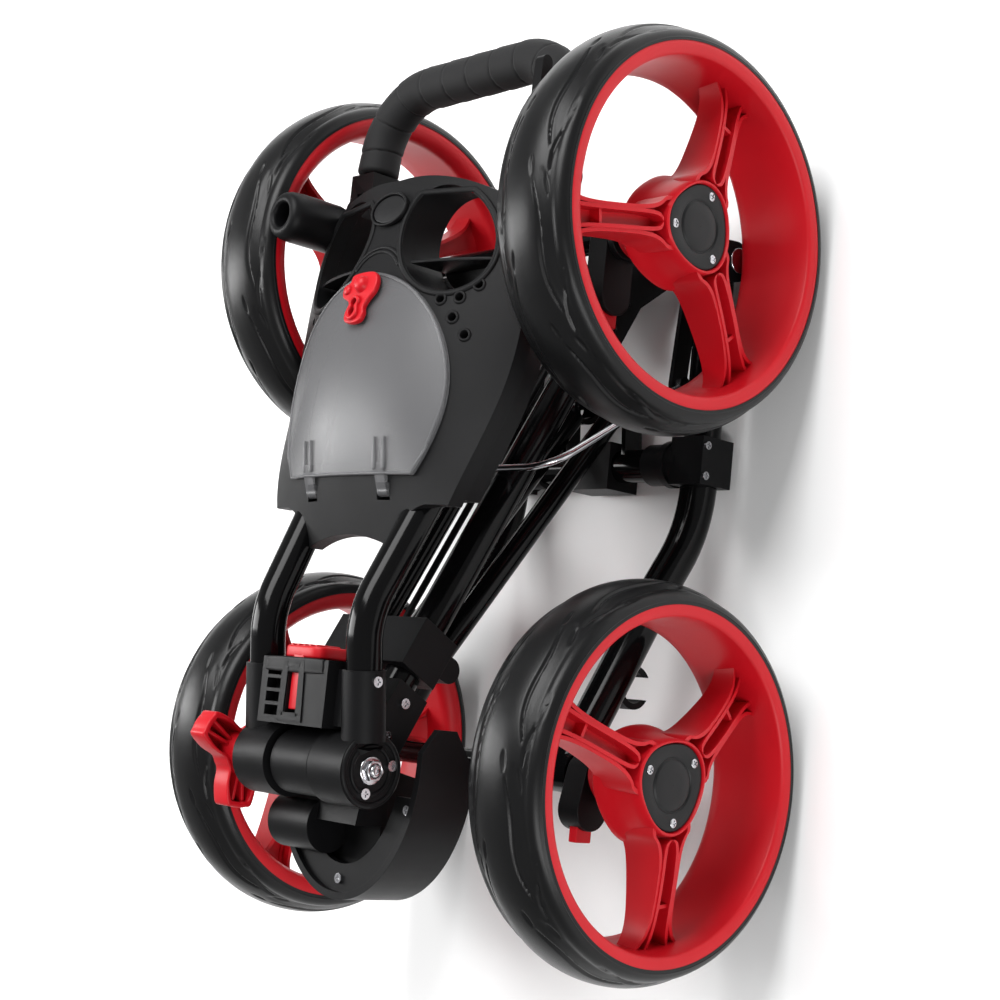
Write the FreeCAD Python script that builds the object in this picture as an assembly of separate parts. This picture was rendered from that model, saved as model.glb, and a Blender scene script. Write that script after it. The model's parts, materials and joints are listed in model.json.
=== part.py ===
import FreeCAD, Part
import os
from math import cos, hypot, pi, radians, sin, tan
from FreeCAD import Vector

# Folded four-wheel golf push trolley, standing on its wheels.
# X runs across, +Y points to the front wheels, +Z up; the floor is Z = 0. Millimetres.

# ---- Driving dimensions -------------------------------------------------------
REAR_R, FRONT_R = 132.0, 138.5          # wheel radii
REAR_Y, FRONT_Y = -188.0, 180.0         # axle positions along Y
REAR_X = (136.9, 201.6)                 # inner and outer faces of the rear wheels
FRONT_X = (123.6, 188.3)                # inner and outer faces of the front wheels
AXLE_R = 6.0                            # axle journals
RUN = 0.05                              # radial running clearance on pins and journals

HEAD = (-198.0, 268.0)                  # handle pivot (Y, Z)
FOLD = (191.0, 23.0)                    # pivot of the leg rails and of the front fork (Y, Z)
BEAM_REAR = (-188.0, 255.0)             # centre line of the beam tubes (Y, Z)
BEAM_FRONT = (187.0, 45.0)
BEAM_X, BEAM_R = 30.0, 12.5             # the two beam tubes
BEAM_START = 22.0                       # where the tubes begin inside the head bracket
TUBE_WALL = 1.6

RAIL_X, RAIL_R = 100.0, 13.5            # leg rails
RAIL_Z = 22.0                           # height of their level front run
CROSS = (41.0, 25.0)                    # crossbar between the rails (Y, Z)
CROSS_R = 12.5
STRUT_TOP = (-128.0, 195.0)             # strut pivot on the beam slider
STRUT_LOW = (89.0, 30.0)                # strut pin on the legs
STRUT_X, STRUT_R = 22.0, 8.5
LUG_PIN_R, PIN_SLACK = 2.8, 7.7         # the strut pin is the linkage's open pivot
LOOP_PIVOT = (100.0, 30.0)              # bag loop pivot
LOOP_X, WIRE_R = 82.5, 2.5

HANDLE_X, HANDLE_R = 53.5, 12.0         # handle tubes at their sockets
GRIP_PIVOT = (212.0, 195.0)             # grip hubs
GRIP_X, FOAM_R, GRIP_TUBE_R = 100.0, 16.0, 11.0
GRIP_END = (304.0, 186.0)               # cross bar of the grip
CONSOLE_Y = (-23.0, 208.0)
SHELL_T, TRAY_T = 12.0, 34.0            # depths of shell and tray below the console's top
LID_LIFT, LID_T = 0.8, 2.4

os.makedirs("parts", exist_ok=True)


# ---- Helpers ------------------------------------------------------------------
def vec(x, point):
    return Vector(x, point[0], point[1])


def save(name, *shapes):
    solids = [solid for shape in shapes for solid in shape.Solids]
    shape = solids[0] if len(solids) == 1 else Part.makeCompound(solids)
    assert shape.isValid(), name
    shape.exportStep("parts/" + name + ".step")


def rod(start, end, radius):
    return Part.makeCylinder(radius, (end - start).Length, start, end - start)


def xrod(x0, x1, point, radius):
    return rod(vec(x0, point), vec(x1, point), radius)


def tube(start, end, radius, wall=TUBE_WALL):
    return rod(start, end, radius).cut(rod(start, end, radius - wall))


def ring(x0, x1, point, outer, inner):
    return xrod(x0, x1, point, outer).cut(xrod(x0, x1, point, inner))


def box(x, y, z):
    return Part.makeBox(x[1] - x[0], y[1] - y[0], z[1] - z[0], Vector(x[0], y[0], z[0]))


def plate(points, x0, x1):
    """A flat plate with its outline in the YZ plane."""
    loop = [vec(x0, p) for p in points] + [vec(x0, points[0])]
    return Part.Face(Part.makePolygon(loop)).extrude(Vector(x1 - x0, 0, 0))


def link(start, end, radius, x0, x1):
    """A flat link with round ends, lying in the YZ plane."""
    dy, dz = end[0] - start[0], end[1] - start[1]
    length = hypot(dy, dz)
    ny, nz = -dz / length * radius, dy / length * radius
    body = plate([(start[0] + ny, start[1] + nz), (end[0] + ny, end[1] + nz),
                  (end[0] - ny, end[1] - nz), (start[0] - ny, start[1] - nz)], x0, x1)
    ends = [xrod(x0, x1, p, radius) for p in (start, end)]
    return body.fuse(ends).removeSplitter()


def mirrored(shape):
    return shape.mirror(Vector(0, 0, 0), Vector(1, 0, 0))


def pair(shape):
    return Part.makeCompound([shape, mirrored(shape)])


def largest(shape):
    return max(shape.Solids, key=lambda solid: solid.Volume)


def both_sides(shapes):
    return [one for shape in shapes for one in (shape, mirrored(shape))]


def both(shape):
    return shape.fuse(mirrored(shape))


def path(points, bend):
    """Straight runs joined by tangent arcs of the given radius."""
    edges, start = [], points[0]
    for before, corner, after in zip(points, points[1:], points[2:]):
        u, v = (before - corner).normalize(), (after - corner).normalize()
        half = u.getAngle(v) / 2
        reach = bend / tan(half)
        enter, leave = corner + u * reach, corner + v * reach
        middle = corner + (u + v).normalize() * (bend / sin(half) - bend)
        edges.append(Part.LineSegment(start, enter).toShape())
        edges.append(Part.Arc(enter, middle, leave).toShape())
        start = leave
    edges.append(Part.LineSegment(start, points[-1]).toShape())
    return Part.Wire(edges)


def sweep(points, bend, radius):
    wire = path(points, bend)
    circle = Part.Circle(points[0], points[1] - points[0], radius).toShape()
    return wire.makePipeShell([Part.Wire([circle])], True, False)


def screw(x, point, out, radius=3.6, head=2.4, shank=1.9, length=9.0):
    """A pan head screw along X whose head stands on the face at x; out is +1 or -1."""
    cap = xrod(x, x + out * head, point, radius)
    recess = sorted((x + out * (head - 1.0), x + out * head))
    cross = [box(recess, (point[0] - a, point[0] + a), (point[1] - b, point[1] + b))
             for a, b in ((2.2, 0.5), (0.5, 2.2))]
    return cap.fuse(xrod(x - out * length, x, point, shank)).cut(cross)


def screw_up(point, z, radius=3.4, head=2.2, shank=1.8, length=4.0):
    """A pan head screw that stands on a level face at z; point is its (X, Y)."""
    foot = Vector(point[0], point[1], z)
    up = Vector(0, 0, 1)
    cap = Part.makeCylinder(radius, head, foot, up).fuse(Part.makeCylinder(shank, length, foot, -up))
    return cap.cut([box((point[0] - a, point[0] + a), (point[1] - b, point[1] + b), (z + head - 1, z + head))
                    for a, b in ((2.1, 0.5), (0.5, 2.1))])


def along_beam(distance, lift=0.0):
    """A (Y, Z) point on the beam, measured from its rear end and above its centre line."""
    dy, dz = BEAM_FRONT[0] - BEAM_REAR[0], BEAM_FRONT[1] - BEAM_REAR[1]
    length = hypot(dy, dz)
    return (BEAM_REAR[0] + (dy * distance - dz * lift) / length,
            BEAM_REAR[1] + (dz * distance + dy * lift) / length)


def beam_block(start, end, low, high, x0, x1):
    """A block whose sides run along the beam."""
    corners = [(start, low), (end, low), (end, high), (start, high)]
    return plate([along_beam(d, h) for d, h in corners], x0, x1)


# ---- Wheels -------------------------------------------------------------------
CAP_R, HUB_R, CAP_SCREW_R = 31.0, 33.0, 25.5
LIP_T, WALL_T = 3.5, 3.5


def turned(profile, axle, side):
    """Revolves an (x, radius) outline about the axle; side mirrors it to the left."""
    points = [Vector(side * x, axle[0], axle[1] + r) for x, r in profile]
    face = Part.Face(Part.makePolygon(points + points[:1]))
    return face.revolve(vec(0, axle), Vector(1, 0, 0), 360)


def spoke(angle, axle, side, x_out, inner_r):
    """A flared channel spoke: a web between two ribs that spread out at the rim."""
    outline = [(HUB_R - 6, 17), (HUB_R + 14, 12), (HUB_R + 34, 11), (HUB_R + 52, 15), (inner_r - 8, 28),
               (inner_r + 1, 33)]
    rib, depth, web = 3.2, 24.0, 4.0

    def flat(points, x0, x1):
        x_low, x_high = sorted((side * x0, side * x1))
        loop = [Vector(x_low, a, b) for a, b in points]
        loop += [Vector(x_low, a, -b) for a, b in reversed(points)]
        solid = Part.Face(Part.makePolygon(loop + loop[:1])).extrude(Vector(x_high - x_low, 0, 0))
        solid.rotate(Vector(0, 0, 0), Vector(1, 0, 0), angle)
        solid.translate(vec(0, axle))
        return solid

    body = flat(outline, x_out - 6 - depth, x_out - 6)
    pocket = flat([(a, max(b - rib, 1)) for a, b in outline[1:]], x_out - 6 - depth + web, x_out)
    return body.cut(pocket)


def wheel(name, axle_y, radius, faces, side, first_spoke):
    axle = (axle_y, radius)
    x_in, x_out = faces
    seat, lip = 0.83 * radius, 0.89 * radius
    barrel = seat - WALL_T
    middle, crown = (x_in + x_out) / 2, 7.0
    half = (x_out - x_in) / 2
    tread = [(middle + half * t, radius - crown * abs(t) ** 2.5) for t in
             (-1, -0.85, -0.7, -0.5, -0.25, 0, 0.25, 0.5, 0.7, 0.85, 1)]
    inside = [(x_out, lip), (x_out - LIP_T, lip), (x_out - LIP_T, seat), (x_out - 10, seat),
              (x_out - 10, radius - 14), (x_in + 10, radius - 14), (x_in + 10, seat),
              (x_in + LIP_T, seat), (x_in + LIP_T, lip), (x_in, lip)]
    save(name + "_tyre", turned(tread + inside, axle, side))
    rim = turned([(x_in, barrel), (x_out, barrel), (x_out, lip), (x_out - LIP_T, lip),
                  (x_out - LIP_T, seat), (x_in + LIP_T, seat), (x_in + LIP_T, lip), (x_in, lip)],
                 axle, side)
    inner = turned([(x_in, 0), (x_out, 0), (x_out, barrel + 0.5), (x_in, barrel + 0.5)], axle, side)
    for k in range(3):
        rim = rim.fuse(spoke(first_spoke + 120 * k, axle, side, x_out, barrel).common(inner))
    recess = turned([(x_out - 7, 0), (x_out, 0), (x_out, CAP_R), (x_out - 7, CAP_R)], axle, side)
    hub = turned([(x_in + 2, AXLE_R + RUN), (x_out - 11, AXLE_R + RUN), (x_out - 11, AXLE_R + 3),
                  (x_out - 7, AXLE_R + 3), (x_out - 7, HUB_R), (x_out - 30, HUB_R),
                  (x_out - 34, 20), (x_in + 2, 17)], axle, side)
    hub = hub.fuse(turned([(x_out - 11, 0.5), (x_out - 7, 0.5), (x_out - 7, AXLE_R + 3.5),
                           (x_out - 11, AXLE_R + 3.5)], axle, side))
    clear = turned([(x_in - 1, 0), (x_out - 11, 0), (x_out - 11, AXLE_R + RUN),
                    (x_in - 1, AXLE_R + RUN)], axle, side)
    rim = rim.fuse(hub).cut([clear, recess])
    screws = []
    for k in range(3):
        angle = radians(first_spoke + 120 * k)
        seat_point = (axle[0] + CAP_SCREW_R * cos(angle), axle[1] + CAP_SCREW_R * sin(angle))
        rim = rim.cut(xrod(side * (x_out - 16), side * (x_out - 7), seat_point, 1.9))
        screws.append(screw(side * (x_out - 3), seat_point, side, 3.0, 1.6, 1.9, 12.0))
    save(name + "_rim", rim)
    cap = turned([(x_out - 7, 0), (x_out - 3, 0), (x_out - 3, CAP_R - 1.5), (x_out - 4.5, CAP_R),
                  (x_out - 7, CAP_R)], axle, side)
    for bolt in screws:
        cap = cap.cut(bolt)
    save(name + "_hub_cap", cap)
    save(name + "_cap_screws", *screws)


for name, axle_y, radius, faces, side, first_spoke in (
        ("rear_right_wheel", REAR_Y, REAR_R, REAR_X, 1, 68.5),
        ("rear_left_wheel", REAR_Y, REAR_R, REAR_X, -1, 38.5),
        ("front_right_wheel", FRONT_Y, FRONT_R, FRONT_X, 1, 98.5),
        ("front_left_wheel", FRONT_Y, FRONT_R, FRONT_X, -1, 60.0)):
    wheel(name, axle_y, radius, faces, side, first_spoke)


# ---- Axles, hub blocks and quick releases ---------------------------------------
def axle_bar(point, x_in, x_out, core):
    bar = xrod(-(x_out - 12), x_out - 12, point, AXLE_R)
    return bar.fuse(xrod(-(x_in - 2), x_in - 2, point, core))


REAR_AXLE, FRONT_AXLE = (REAR_Y, REAR_R), (FRONT_Y, FRONT_R)
CORE_R = 8.0
save("rear_axle", axle_bar(REAR_AXLE, *REAR_X, CORE_R))
save("front_axle", axle_bar(FRONT_AXLE, *FRONT_X, CORE_R))


def hub_block(axle, x0, x1, toward, slot_x):
    """A moulded block clamped on the axle, with a slot for its quick-release tab."""
    body = link(axle, toward, 14.0, x0, x1).cut(xrod(x0, x1, axle, CORE_R))
    slot = box(slot_x, (toward[0] - 30, toward[0] - 2), (toward[1] - 7.5, toward[1] + 7.5))
    return body.cut(slot)


def release_tab(axle, toward, slot_x, side):
    clear = 0.4
    x0, x1 = slot_x[0] + clear, slot_x[1] - clear
    tab = box((x0, x1), (toward[0] - 22, toward[0] - 2 - clear - 3), (toward[1] - 7.1, toward[1] + 7.1))
    return tab if side > 0 else mirrored(tab)


REAR_RELEASE, FRONT_RELEASE = (-211.0, 137.0), (140.0, 138.5)
REAR_SLOT, FRONT_SLOT = (121.0, 129.0), (101.0, 109.0)
rear_block = hub_block(REAR_AXLE, 115.5, 134.5, REAR_RELEASE, REAR_SLOT)
front_block = hub_block(FRONT_AXLE, 96.0, 113.5, FRONT_RELEASE, FRONT_SLOT)
save("rear_hub_blocks", pair(rear_block))
save("front_hub_blocks", pair(front_block))
for side, label in ((1, "right"), (-1, "left")):
    save("rear_" + label + "_release", release_tab(REAR_AXLE, REAR_RELEASE, REAR_SLOT, side))
    save("front_" + label + "_release", release_tab(FRONT_AXLE, FRONT_RELEASE, FRONT_SLOT, side))


# ---- Front fork -----------------------------------------------------------------
FORK_X = (114.0, 119.0)
fork = link(FOLD, FRONT_AXLE, 15.0, *FORK_X)
fork = fork.cut(xrod(*FORK_X, FRONT_AXLE, CORE_R)).cut(xrod(*FORK_X, FOLD, AXLE_R + RUN))
save("fork_plates", pair(fork))


# ---- Leg rails ------------------------------------------------------------------
rail_line = [vec(RAIL_X, p) for p in (REAR_AXLE, (-52.0, 53.0), (-5.0, RAIL_Z), FOLD)]
rail = sweep(rail_line, 110.0, RAIL_R).cut(sweep(rail_line, 110.0, RAIL_R - 2.0))
ends = [xrod(RAIL_X - RAIL_R, RAIL_X + RAIL_R, p, RAIL_R + 0.5) for p in (REAR_AXLE, FOLD)]
rail = rail.fuse(ends)
rail = rail.cut(xrod(80, 120, REAR_AXLE, CORE_R)).cut(xrod(80, 120, FOLD, AXLE_R + RUN))
save("leg_rail_right", rail)
save("leg_rail_left", mirrored(rail))

LUG_X = (31.0, 35.0)
crossbar = tube(vec(-84, CROSS), vec(84, CROSS), CROSS_R)
lug = link(CROSS, STRUT_LOW, 9.0, *LUG_X).cut(xrod(*LUG_X, CROSS, CROSS_R - TUBE_WALL))
pin = xrod(STRUT_X - STRUT_R + 0.5, LUG_X[1], STRUT_LOW, LUG_PIN_R)
crossbar = crossbar.fuse(both(lug.fuse(pin)))
save("crossbar", crossbar)

rail_bit = sweep(rail_line, 110.0, RAIL_R)
clamp = box((86.0, 117.0), (24.0, 59.0), (7.0, 40.0))
clamp = clamp.fuse([xrod(56.0, 90.0, CROSS, 15.5), xrod(74.0, 80.0, CROSS, 17.5)])
clamp_screws = [screw(117.0, (y, 36.5), 1, radius=3.0, length=12.0) for y in (30.0, 52.0)]
clamp = clamp.cut(rail_bit).cut(xrod(50, 84, CROSS, CROSS_R)).cut(clamp_screws)
save("rail_clamps", pair(clamp))
save("leg_screws", *both_sides(clamp_screws))

clip_post = (-126.0, 80.0)
clip_foot = rod(Vector(RAIL_X - 6, -126, 96), Vector(RAIL_X - 14, clip_post[0], clip_post[1]), 6.0)
clip = clip_foot.fuse(ring(74, 94, (clip_post[0], clip_post[1] - 16), 15.5, 11.0))
clip = clip.cut(box((70, 100), (-134, -118), (40, 60)))
clip = clip.cut(rail_bit)
save("storage_clip", clip)


# ---- Main beam, head and front bracket -------------------------------------------
HEAD_LEN, HEAD_HALF = 52.0, 47.0
beam_ends = [(vec(x, along_beam(BEAM_START)), vec(x, BEAM_FRONT)) for x in (BEAM_X, -BEAM_X)]
save("beam_tubes", *[tube(start, end, BEAM_R) for start, end in beam_ends])
beam_solid = [rod(start, end, BEAM_R) for start, end in beam_ends]

DRUM_R, DRUM_X = 22.0, 20.0
head = plate([along_beam(d, h) for d, h in
              ((-14, -17), (HEAD_LEN, -17), (HEAD_LEN, 12), (20, 12), (8, 2), (-14, 2))],
             -HEAD_HALF, HEAD_HALF)
head = head.fuse(xrod(-DRUM_X, DRUM_X, HEAD, DRUM_R))
head = head.fuse(plate([(-219, 262), (-180, 262), (-165, 236), (-215, 232)], -DRUM_X, DRUM_X))
barrel_axis = (-240.0, 240.0)
barrel = xrod(-58.0, -13.0, barrel_axis, 19.0)
head = head.fuse(barrel)
head = head.fuse(plate([(-236, 252), (-196, 246), (-190, 226), (-236, 225)], -56, 30))
PIVOT_BOLT_R = 4.0
ear_clear = ring(21.0, 70.0, HEAD, 27.5, 0.5).fuse(xrod(21.0, 70.0, HEAD, 1.0))
head = head.cut(ear_clear).cut(mirrored(ear_clear)).cut(xrod(-60, 60, HEAD, PIVOT_BOLT_R + RUN))
for solid in beam_solid:
    head = head.cut(solid)
head_screws = both_sides([screw(HEAD_HALF, along_beam(d), 1, length=4.0) for d in (14.0, 40.0)])
head = head.cut(head_screws)
save("head_bracket", largest(head))

FRONT_BLOCK = (356.0, 428.0)
SIDE_X = (75.5, 79.0)
bracket = beam_block(*FRONT_BLOCK, -15.5, 15.5, -46, 46)
bracket = bracket.fuse(link(along_beam(405), FOLD, 14.0, -46, 46))
bracket = bracket.fuse(both(xrod(46, SIDE_X[1], FOLD, 10.0).fuse(link(FOLD, LOOP_PIVOT, 8.0, *SIDE_X))
                            .fuse(xrod(SIDE_X[0], LOOP_X + WIRE_R, LOOP_PIVOT, 2.5))))
bracket = bracket.cut(xrod(-90, 90, FOLD, AXLE_R))
bracket_screws = both_sides([screw(46.0, along_beam(d), 1, length=3.0) for d in (372.0, 396.0)])
bracket = bracket.cut(beam_solid + bracket_screws)
save("front_bracket", bracket.removeSplitter())

NUT_X = (119.5, 122.2)
fold_pin = xrod(-NUT_X[1], NUT_X[1], FOLD, AXLE_R).fuse(both(xrod(*NUT_X, FOLD, 9.5)))
save("fold_pin", fold_pin)

CRADLE_Y, CRADLE_HALF, CRADLE_DEPTH = -190.0, 77.0, 98.0     # the U-shaped cradle for the bag
CRADLE_Z, CRADLE_T = (192.0, 240.0), 5.0


def half_oval(shrink, z):
    """The inside of a U: half an ellipse below the line Y = CRADLE_Y, drawn up to its open side."""
    ellipse = Part.Ellipse(Vector(0, 0, 0), CRADLE_DEPTH - shrink, CRADLE_HALF - shrink).toShape()
    solid = Part.Face(Part.Wire([ellipse])).extrude(Vector(0, 0, z[1] - z[0]))
    solid.rotate(Vector(0, 0, 0), Vector(0, 0, 1), 90)
    solid.translate(Vector(0, CRADLE_Y, z[0]))
    return solid.common(box((-90, 90), (-300, CRADLE_Y), z))


def straight_arms(shrink, z):
    half = CRADLE_HALF - shrink
    return box((-half, half), (CRADLE_Y, -168.0), z)


cradle = half_oval(0, CRADLE_Z).fuse(straight_arms(0, CRADLE_Z))
cradle = cradle.cut(half_oval(CRADLE_T, CRADLE_Z).fuse(straight_arms(CRADLE_T, CRADLE_Z)))
WEB_Z = (231.0, 236.0)
web = half_oval(1.0, WEB_Z).cut(half_oval(24.0, WEB_Z).fuse(box((-90, 90), (-214, -180), WEB_Z)))
arm_slope = plate([(-168, 180), (-168, 212), (-196, 192), (-196, 180)], -90, 90)
arm_round = plate([(-168, 228), (-168, 250), (-184, 250), (-184, 240)], -90, 90)
neck = box((-26, 26), (-286, -228), (194, 226))
neck = neck.fuse(plate([(-262, 224), (-196, 232), (-204, 194), (-262, 194)], -26, 26))
neck = neck.common(half_oval(1.0, CRADLE_Z).fuse(box((-30, 30), (CRADLE_Y, -180), CRADLE_Z))).cut(head)
cradle = cradle.fuse([web, neck]).cut([arm_slope, arm_round, head])
cradle_screws = [screw_up(point, WEB_Z[1]) for point in
                 ((0.0, -274.0), (-64.0, -222.0), (64.0, -222.0))]
cradle = cradle.cut(cradle_screws)
save("bag_cradle", largest(cradle.removeSplitter()))

PAD_T, PAD_RIB, PAD_Z = 2.6, 2.0, (196.0, 230.5)
lining = half_oval(CRADLE_T, PAD_Z).cut(half_oval(CRADLE_T + PAD_T, PAD_Z))
ribs = half_oval(CRADLE_T + PAD_T - 0.3, PAD_Z).cut(half_oval(CRADLE_T + PAD_T + PAD_RIB, PAD_Z))
slots = [box((-90, 90), (-279.0 + 8.0 * k, -274.0 + 8.0 * k), (190, 240)) for k in range(11)]
pads = lining.fuse(ribs.cut(slots)).cut([box((-29, 29), (-300, -180), (190, 240)), head])
save("cradle_pads", pads.removeSplitter())

save("frame_screws", *(head_screws + bracket_screws + cradle_screws))

CABLE_R = 2.5
save("brake_cable", rod(vec(0, along_beam(HEAD_LEN)), vec(0, along_beam(FRONT_BLOCK[0])), CABLE_R))

saddle = box((-24.0, 24.0), (22.0, 58.0), (7.0, 40.0)).cut(xrod(-30, 30, CROSS, CROSS_R))
save("saddle_clamp", saddle)


# ---- Beam slider and struts ------------------------------------------------------
SLIDER_D = (62.0, 98.0)
slider = beam_block(*SLIDER_D, -17, 17, -46, 46)
cheek = link(along_beam(80, -6), STRUT_TOP, 9.0, STRUT_X + STRUT_R + 0.5, 44.0)
cheek = cheek.fuse(xrod(0.0, 40.0, STRUT_TOP, 4.0))
strut_clear = link(STRUT_TOP, STRUT_LOW, STRUT_R + 1.5, STRUT_X - STRUT_R - 0.5, STRUT_X + STRUT_R + 0.5)
slider = slider.cut(both(strut_clear)).fuse([cheek, mirrored(cheek)])
for x in (BEAM_X, -BEAM_X):
    slider = slider.cut(rod(vec(x, BEAM_REAR), vec(x, BEAM_FRONT), BEAM_R + RUN))
slider = slider.cut(rod(vec(0, BEAM_REAR), vec(0, BEAM_FRONT), CABLE_R + 2.0))
save("beam_slider", slider)

strut = rod(vec(STRUT_X, STRUT_TOP), vec(STRUT_X, STRUT_LOW), STRUT_R)
strut = strut.fuse(xrod(STRUT_X - STRUT_R, STRUT_X + STRUT_R, STRUT_TOP, 9.5))
strut = strut.fuse(xrod(STRUT_X - STRUT_R + 1, STRUT_X + STRUT_R - 1, STRUT_LOW, 14.5))
strut = strut.cut(xrod(5, 40, STRUT_TOP, 4.0 + RUN)).cut(xrod(5, 40, STRUT_LOW, LUG_PIN_R + PIN_SLACK))
save("struts", pair(strut))


# ---- Bag loop --------------------------------------------------------------------
LOOP_REST = along_beam(228.0, BEAM_R + WIRE_R + 0.4)
corners = [vec(LOOP_X, LOOP_PIVOT), vec(LOOP_X, LOOP_REST),
           vec(-LOOP_X, LOOP_REST), vec(-LOOP_X, LOOP_PIVOT)]
loop = sweep(corners, 24.0, WIRE_R)
eye_x = (LOOP_X - WIRE_R, LOOP_X + WIRE_R)
loop = loop.fuse(both(xrod(*eye_x, LOOP_PIVOT, 5.5))).cut(both(xrod(*eye_x, LOOP_PIVOT, 2.5 + RUN)))
save("bag_loop", loop)


# ---- Handle: yoke, lock, tubes and pivot bolt --------------------------------------
EAR_X = (24.5, 60.0)
SOCKET_R = 14.5
socket_start, socket_end = Vector(HANDLE_X, -180, 271.5), Vector(HANDLE_X, -134, 277)
tube_line = [socket_start, Vector(HANDLE_X, -98, 281.3), Vector(61, -2, 236.6)]
tube_bar = sweep(tube_line, 70.0, HANDLE_R)
yoke = xrod(*EAR_X, HEAD, 25.0).fuse(rod(socket_start, socket_end, SOCKET_R))
yoke = yoke.fuse(box((36.0, 46.0), (-172.0, -135.0), (262.0, 284.0)))
yoke = yoke.fuse(rod(Vector(HANDLE_X - 7, -196, 269.5), socket_start, SOCKET_R - 1.5))
socket_screw = screw(HANDLE_X + SOCKET_R - 1, (-141.0, 277.0), 1, length=1.2)
ear_screws = [screw(EAR_X[1], (HEAD[0] + dy, HEAD[1] + dz), 1, length=6.0)
              for dy, dz in ((-15, 4), (4, -16))]
yoke = yoke.cut([tube_bar, xrod(0, 80, HEAD, PIVOT_BOLT_R), xrod(EAR_X[1], 90, HEAD, 14.0), socket_screw])
yoke = yoke.common(box((EAR_X[0], 80), (-240, -100), (200, 300)))
save("handle_yoke", largest(yoke.cut(ear_screws)), mirrored(largest(yoke)))
right_tube = tube_bar.cut(sweep(tube_line, 70.0, HANDLE_R - TUBE_WALL))
save("handle_tube_right", right_tube)
save("handle_tube_left", mirrored(right_tube))

HOUSING_Z = (259.0, 293.0)
housing = box((-36.0, 36.0), (-174.0, -130.0), HOUSING_Z)
housing = housing.cut(xrod(-40, 40, HEAD, DRUM_R + 1.5)).cut(both(xrod(24.4, 60, HEAD, 25.0)))
housing = housing.cut(box((-6.0, 6.0), (-170.0, -130.0), (284.0, 293.0)))
for k in range(4):
    housing = housing.cut(box((-29.0, -14.0), (-169.0 + 9 * k, -162.5 + 9 * k), (285.0, 293.0)))
save("lock_housing", housing)

lock = box((-5.7, 5.7), (-164.0, -129.4), (284.4, 291.0)).fuse(box((-20, 20), (-129.4, -120), (264, 291)))
for k in range(6):
    lock = lock.cut(box((-18.5 + 6.6 * k, -15.5 + 6.6 * k), (-121.2, -119), (264, 292)))
save("lock_slider", lock)

BOLT_X = (-78.0, 61.0)
bolt = xrod(*BOLT_X, HEAD, PIVOT_BOLT_R)
nut_corners = [(HEAD[0] + 7.5 * cos(k * pi / 3), HEAD[1] + 7.5 * sin(k * pi / 3)) for k in range(6)]
nut = plate(nut_corners, BOLT_X[1] - 1, BOLT_X[1] + 5.5)
save("pivot_bolt", bolt.fuse(nut))

KNOB_X, KNOB_TIP = (-97.0, -79.5), 38.0


def knob_point(radius, angle, across=0.0):
    """A point in the knob's plane, at a radius along an angle and then across it."""
    turn = radians(angle)
    return vec(KNOB_X[0], (HEAD[0] + radius * cos(turn) - across * sin(turn),
                           HEAD[1] + radius * sin(turn) + across * cos(turn)))


star = []
for angle in (60, 180, 300):
    tip = knob_point(KNOB_TIP, angle, -10.5), knob_point(KNOB_TIP, angle, 10.5)
    star.append(Part.LineSegment(*tip).toShape())
    next_tip = knob_point(KNOB_TIP, angle + 120, -10.5)
    star.append(Part.Arc(tip[1], knob_point(15.5, angle + 60), next_tip).toShape())
knob = Part.Face(Part.Wire(star)).extrude(Vector(KNOB_X[1] - KNOB_X[0], 0, 0))
knob = knob.fuse(xrod(KNOB_X[1] - 0.5, -69.5, HEAD, 13.0))
knob = knob.cut(xrod(BOLT_X[0] - 0.3, -60.0, HEAD, PIVOT_BOLT_R + RUN))
save("tension_knob", knob.removeSplitter())

save("handle_screws", socket_screw, mirrored(socket_screw), *ear_screws)


# ---- Console -----------------------------------------------------------------------
CONSOLE_SECTIONS = [(-60.0, 258.0, 10.0), (-23.0, 266.0, 20.0), (20.0, 273.0, 38.0), (72.0, 273.0, 47.0),
                    (121.0, 266.0, 43.0), (165.0, 257.0, 38.0), (215.0, 249.0, 34.0)]  # Y, crest, drop
SIDE = 125.0


def console_slab(top, bottom):
    """The slab between two copies of the console's top surface, moved by top and bottom."""
    wires = []
    for y, crest, drop in CONSOLE_SECTIONS:
        ends = [Vector(-SIDE, y, crest - drop), Vector(0, y, crest), Vector(SIDE, y, crest - drop)]
        upper = Part.Arc(*[p + Vector(0, 0, top) for p in ends]).toShape()
        lower = Part.Arc(*[p + Vector(0, 0, bottom) for p in reversed(ends)]).toShape()
        right = Part.LineSegment(ends[2] + Vector(0, 0, top), ends[2] + Vector(0, 0, bottom)).toShape()
        left = Part.LineSegment(ends[0] + Vector(0, 0, bottom), ends[0] + Vector(0, 0, top)).toShape()
        wires.append(Part.Wire([upper, right, lower, left]))
    return Part.makeLoft(wires, True, False)


def outline(edges):
    return Part.Face(Part.Wire(edges)).extrude(Vector(0, 0, 400))


def console_plan(inset=0.0):
    a, b = Vector(94 - inset, CONSOLE_Y[0] + inset, 0), Vector(119 - inset, 100, 0)
    shoulder, top = Vector(90 - inset * 0.8, 192 - inset * 0.8, 0), Vector(0, CONSOLE_Y[1] - inset, 0)
    side_bow, head_bow = Vector(111.5 - inset, 36, 0), Vector(110 - inset, 150, 0)
    top_bow = Vector(50, 205.5 - inset, 0)
    flip = lambda p: Vector(-p.x, p.y, p.z)
    right = [(a, side_bow, b), (b, head_bow, shoulder), (shoulder, top_bow, top)]
    left = [(flip(end), flip(middle), flip(start)) for start, middle, end in reversed(right)]
    arcs = [Part.Arc(*arc).toShape() for arc in right + left]
    return outline([Part.LineSegment(flip(a), a).toShape()] + arcs)


HEAD_HOLE = (57.0, 161.0, 43.0, 33.0, -47.0)   # centre X and Y, half lengths, tilt in degrees


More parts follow.
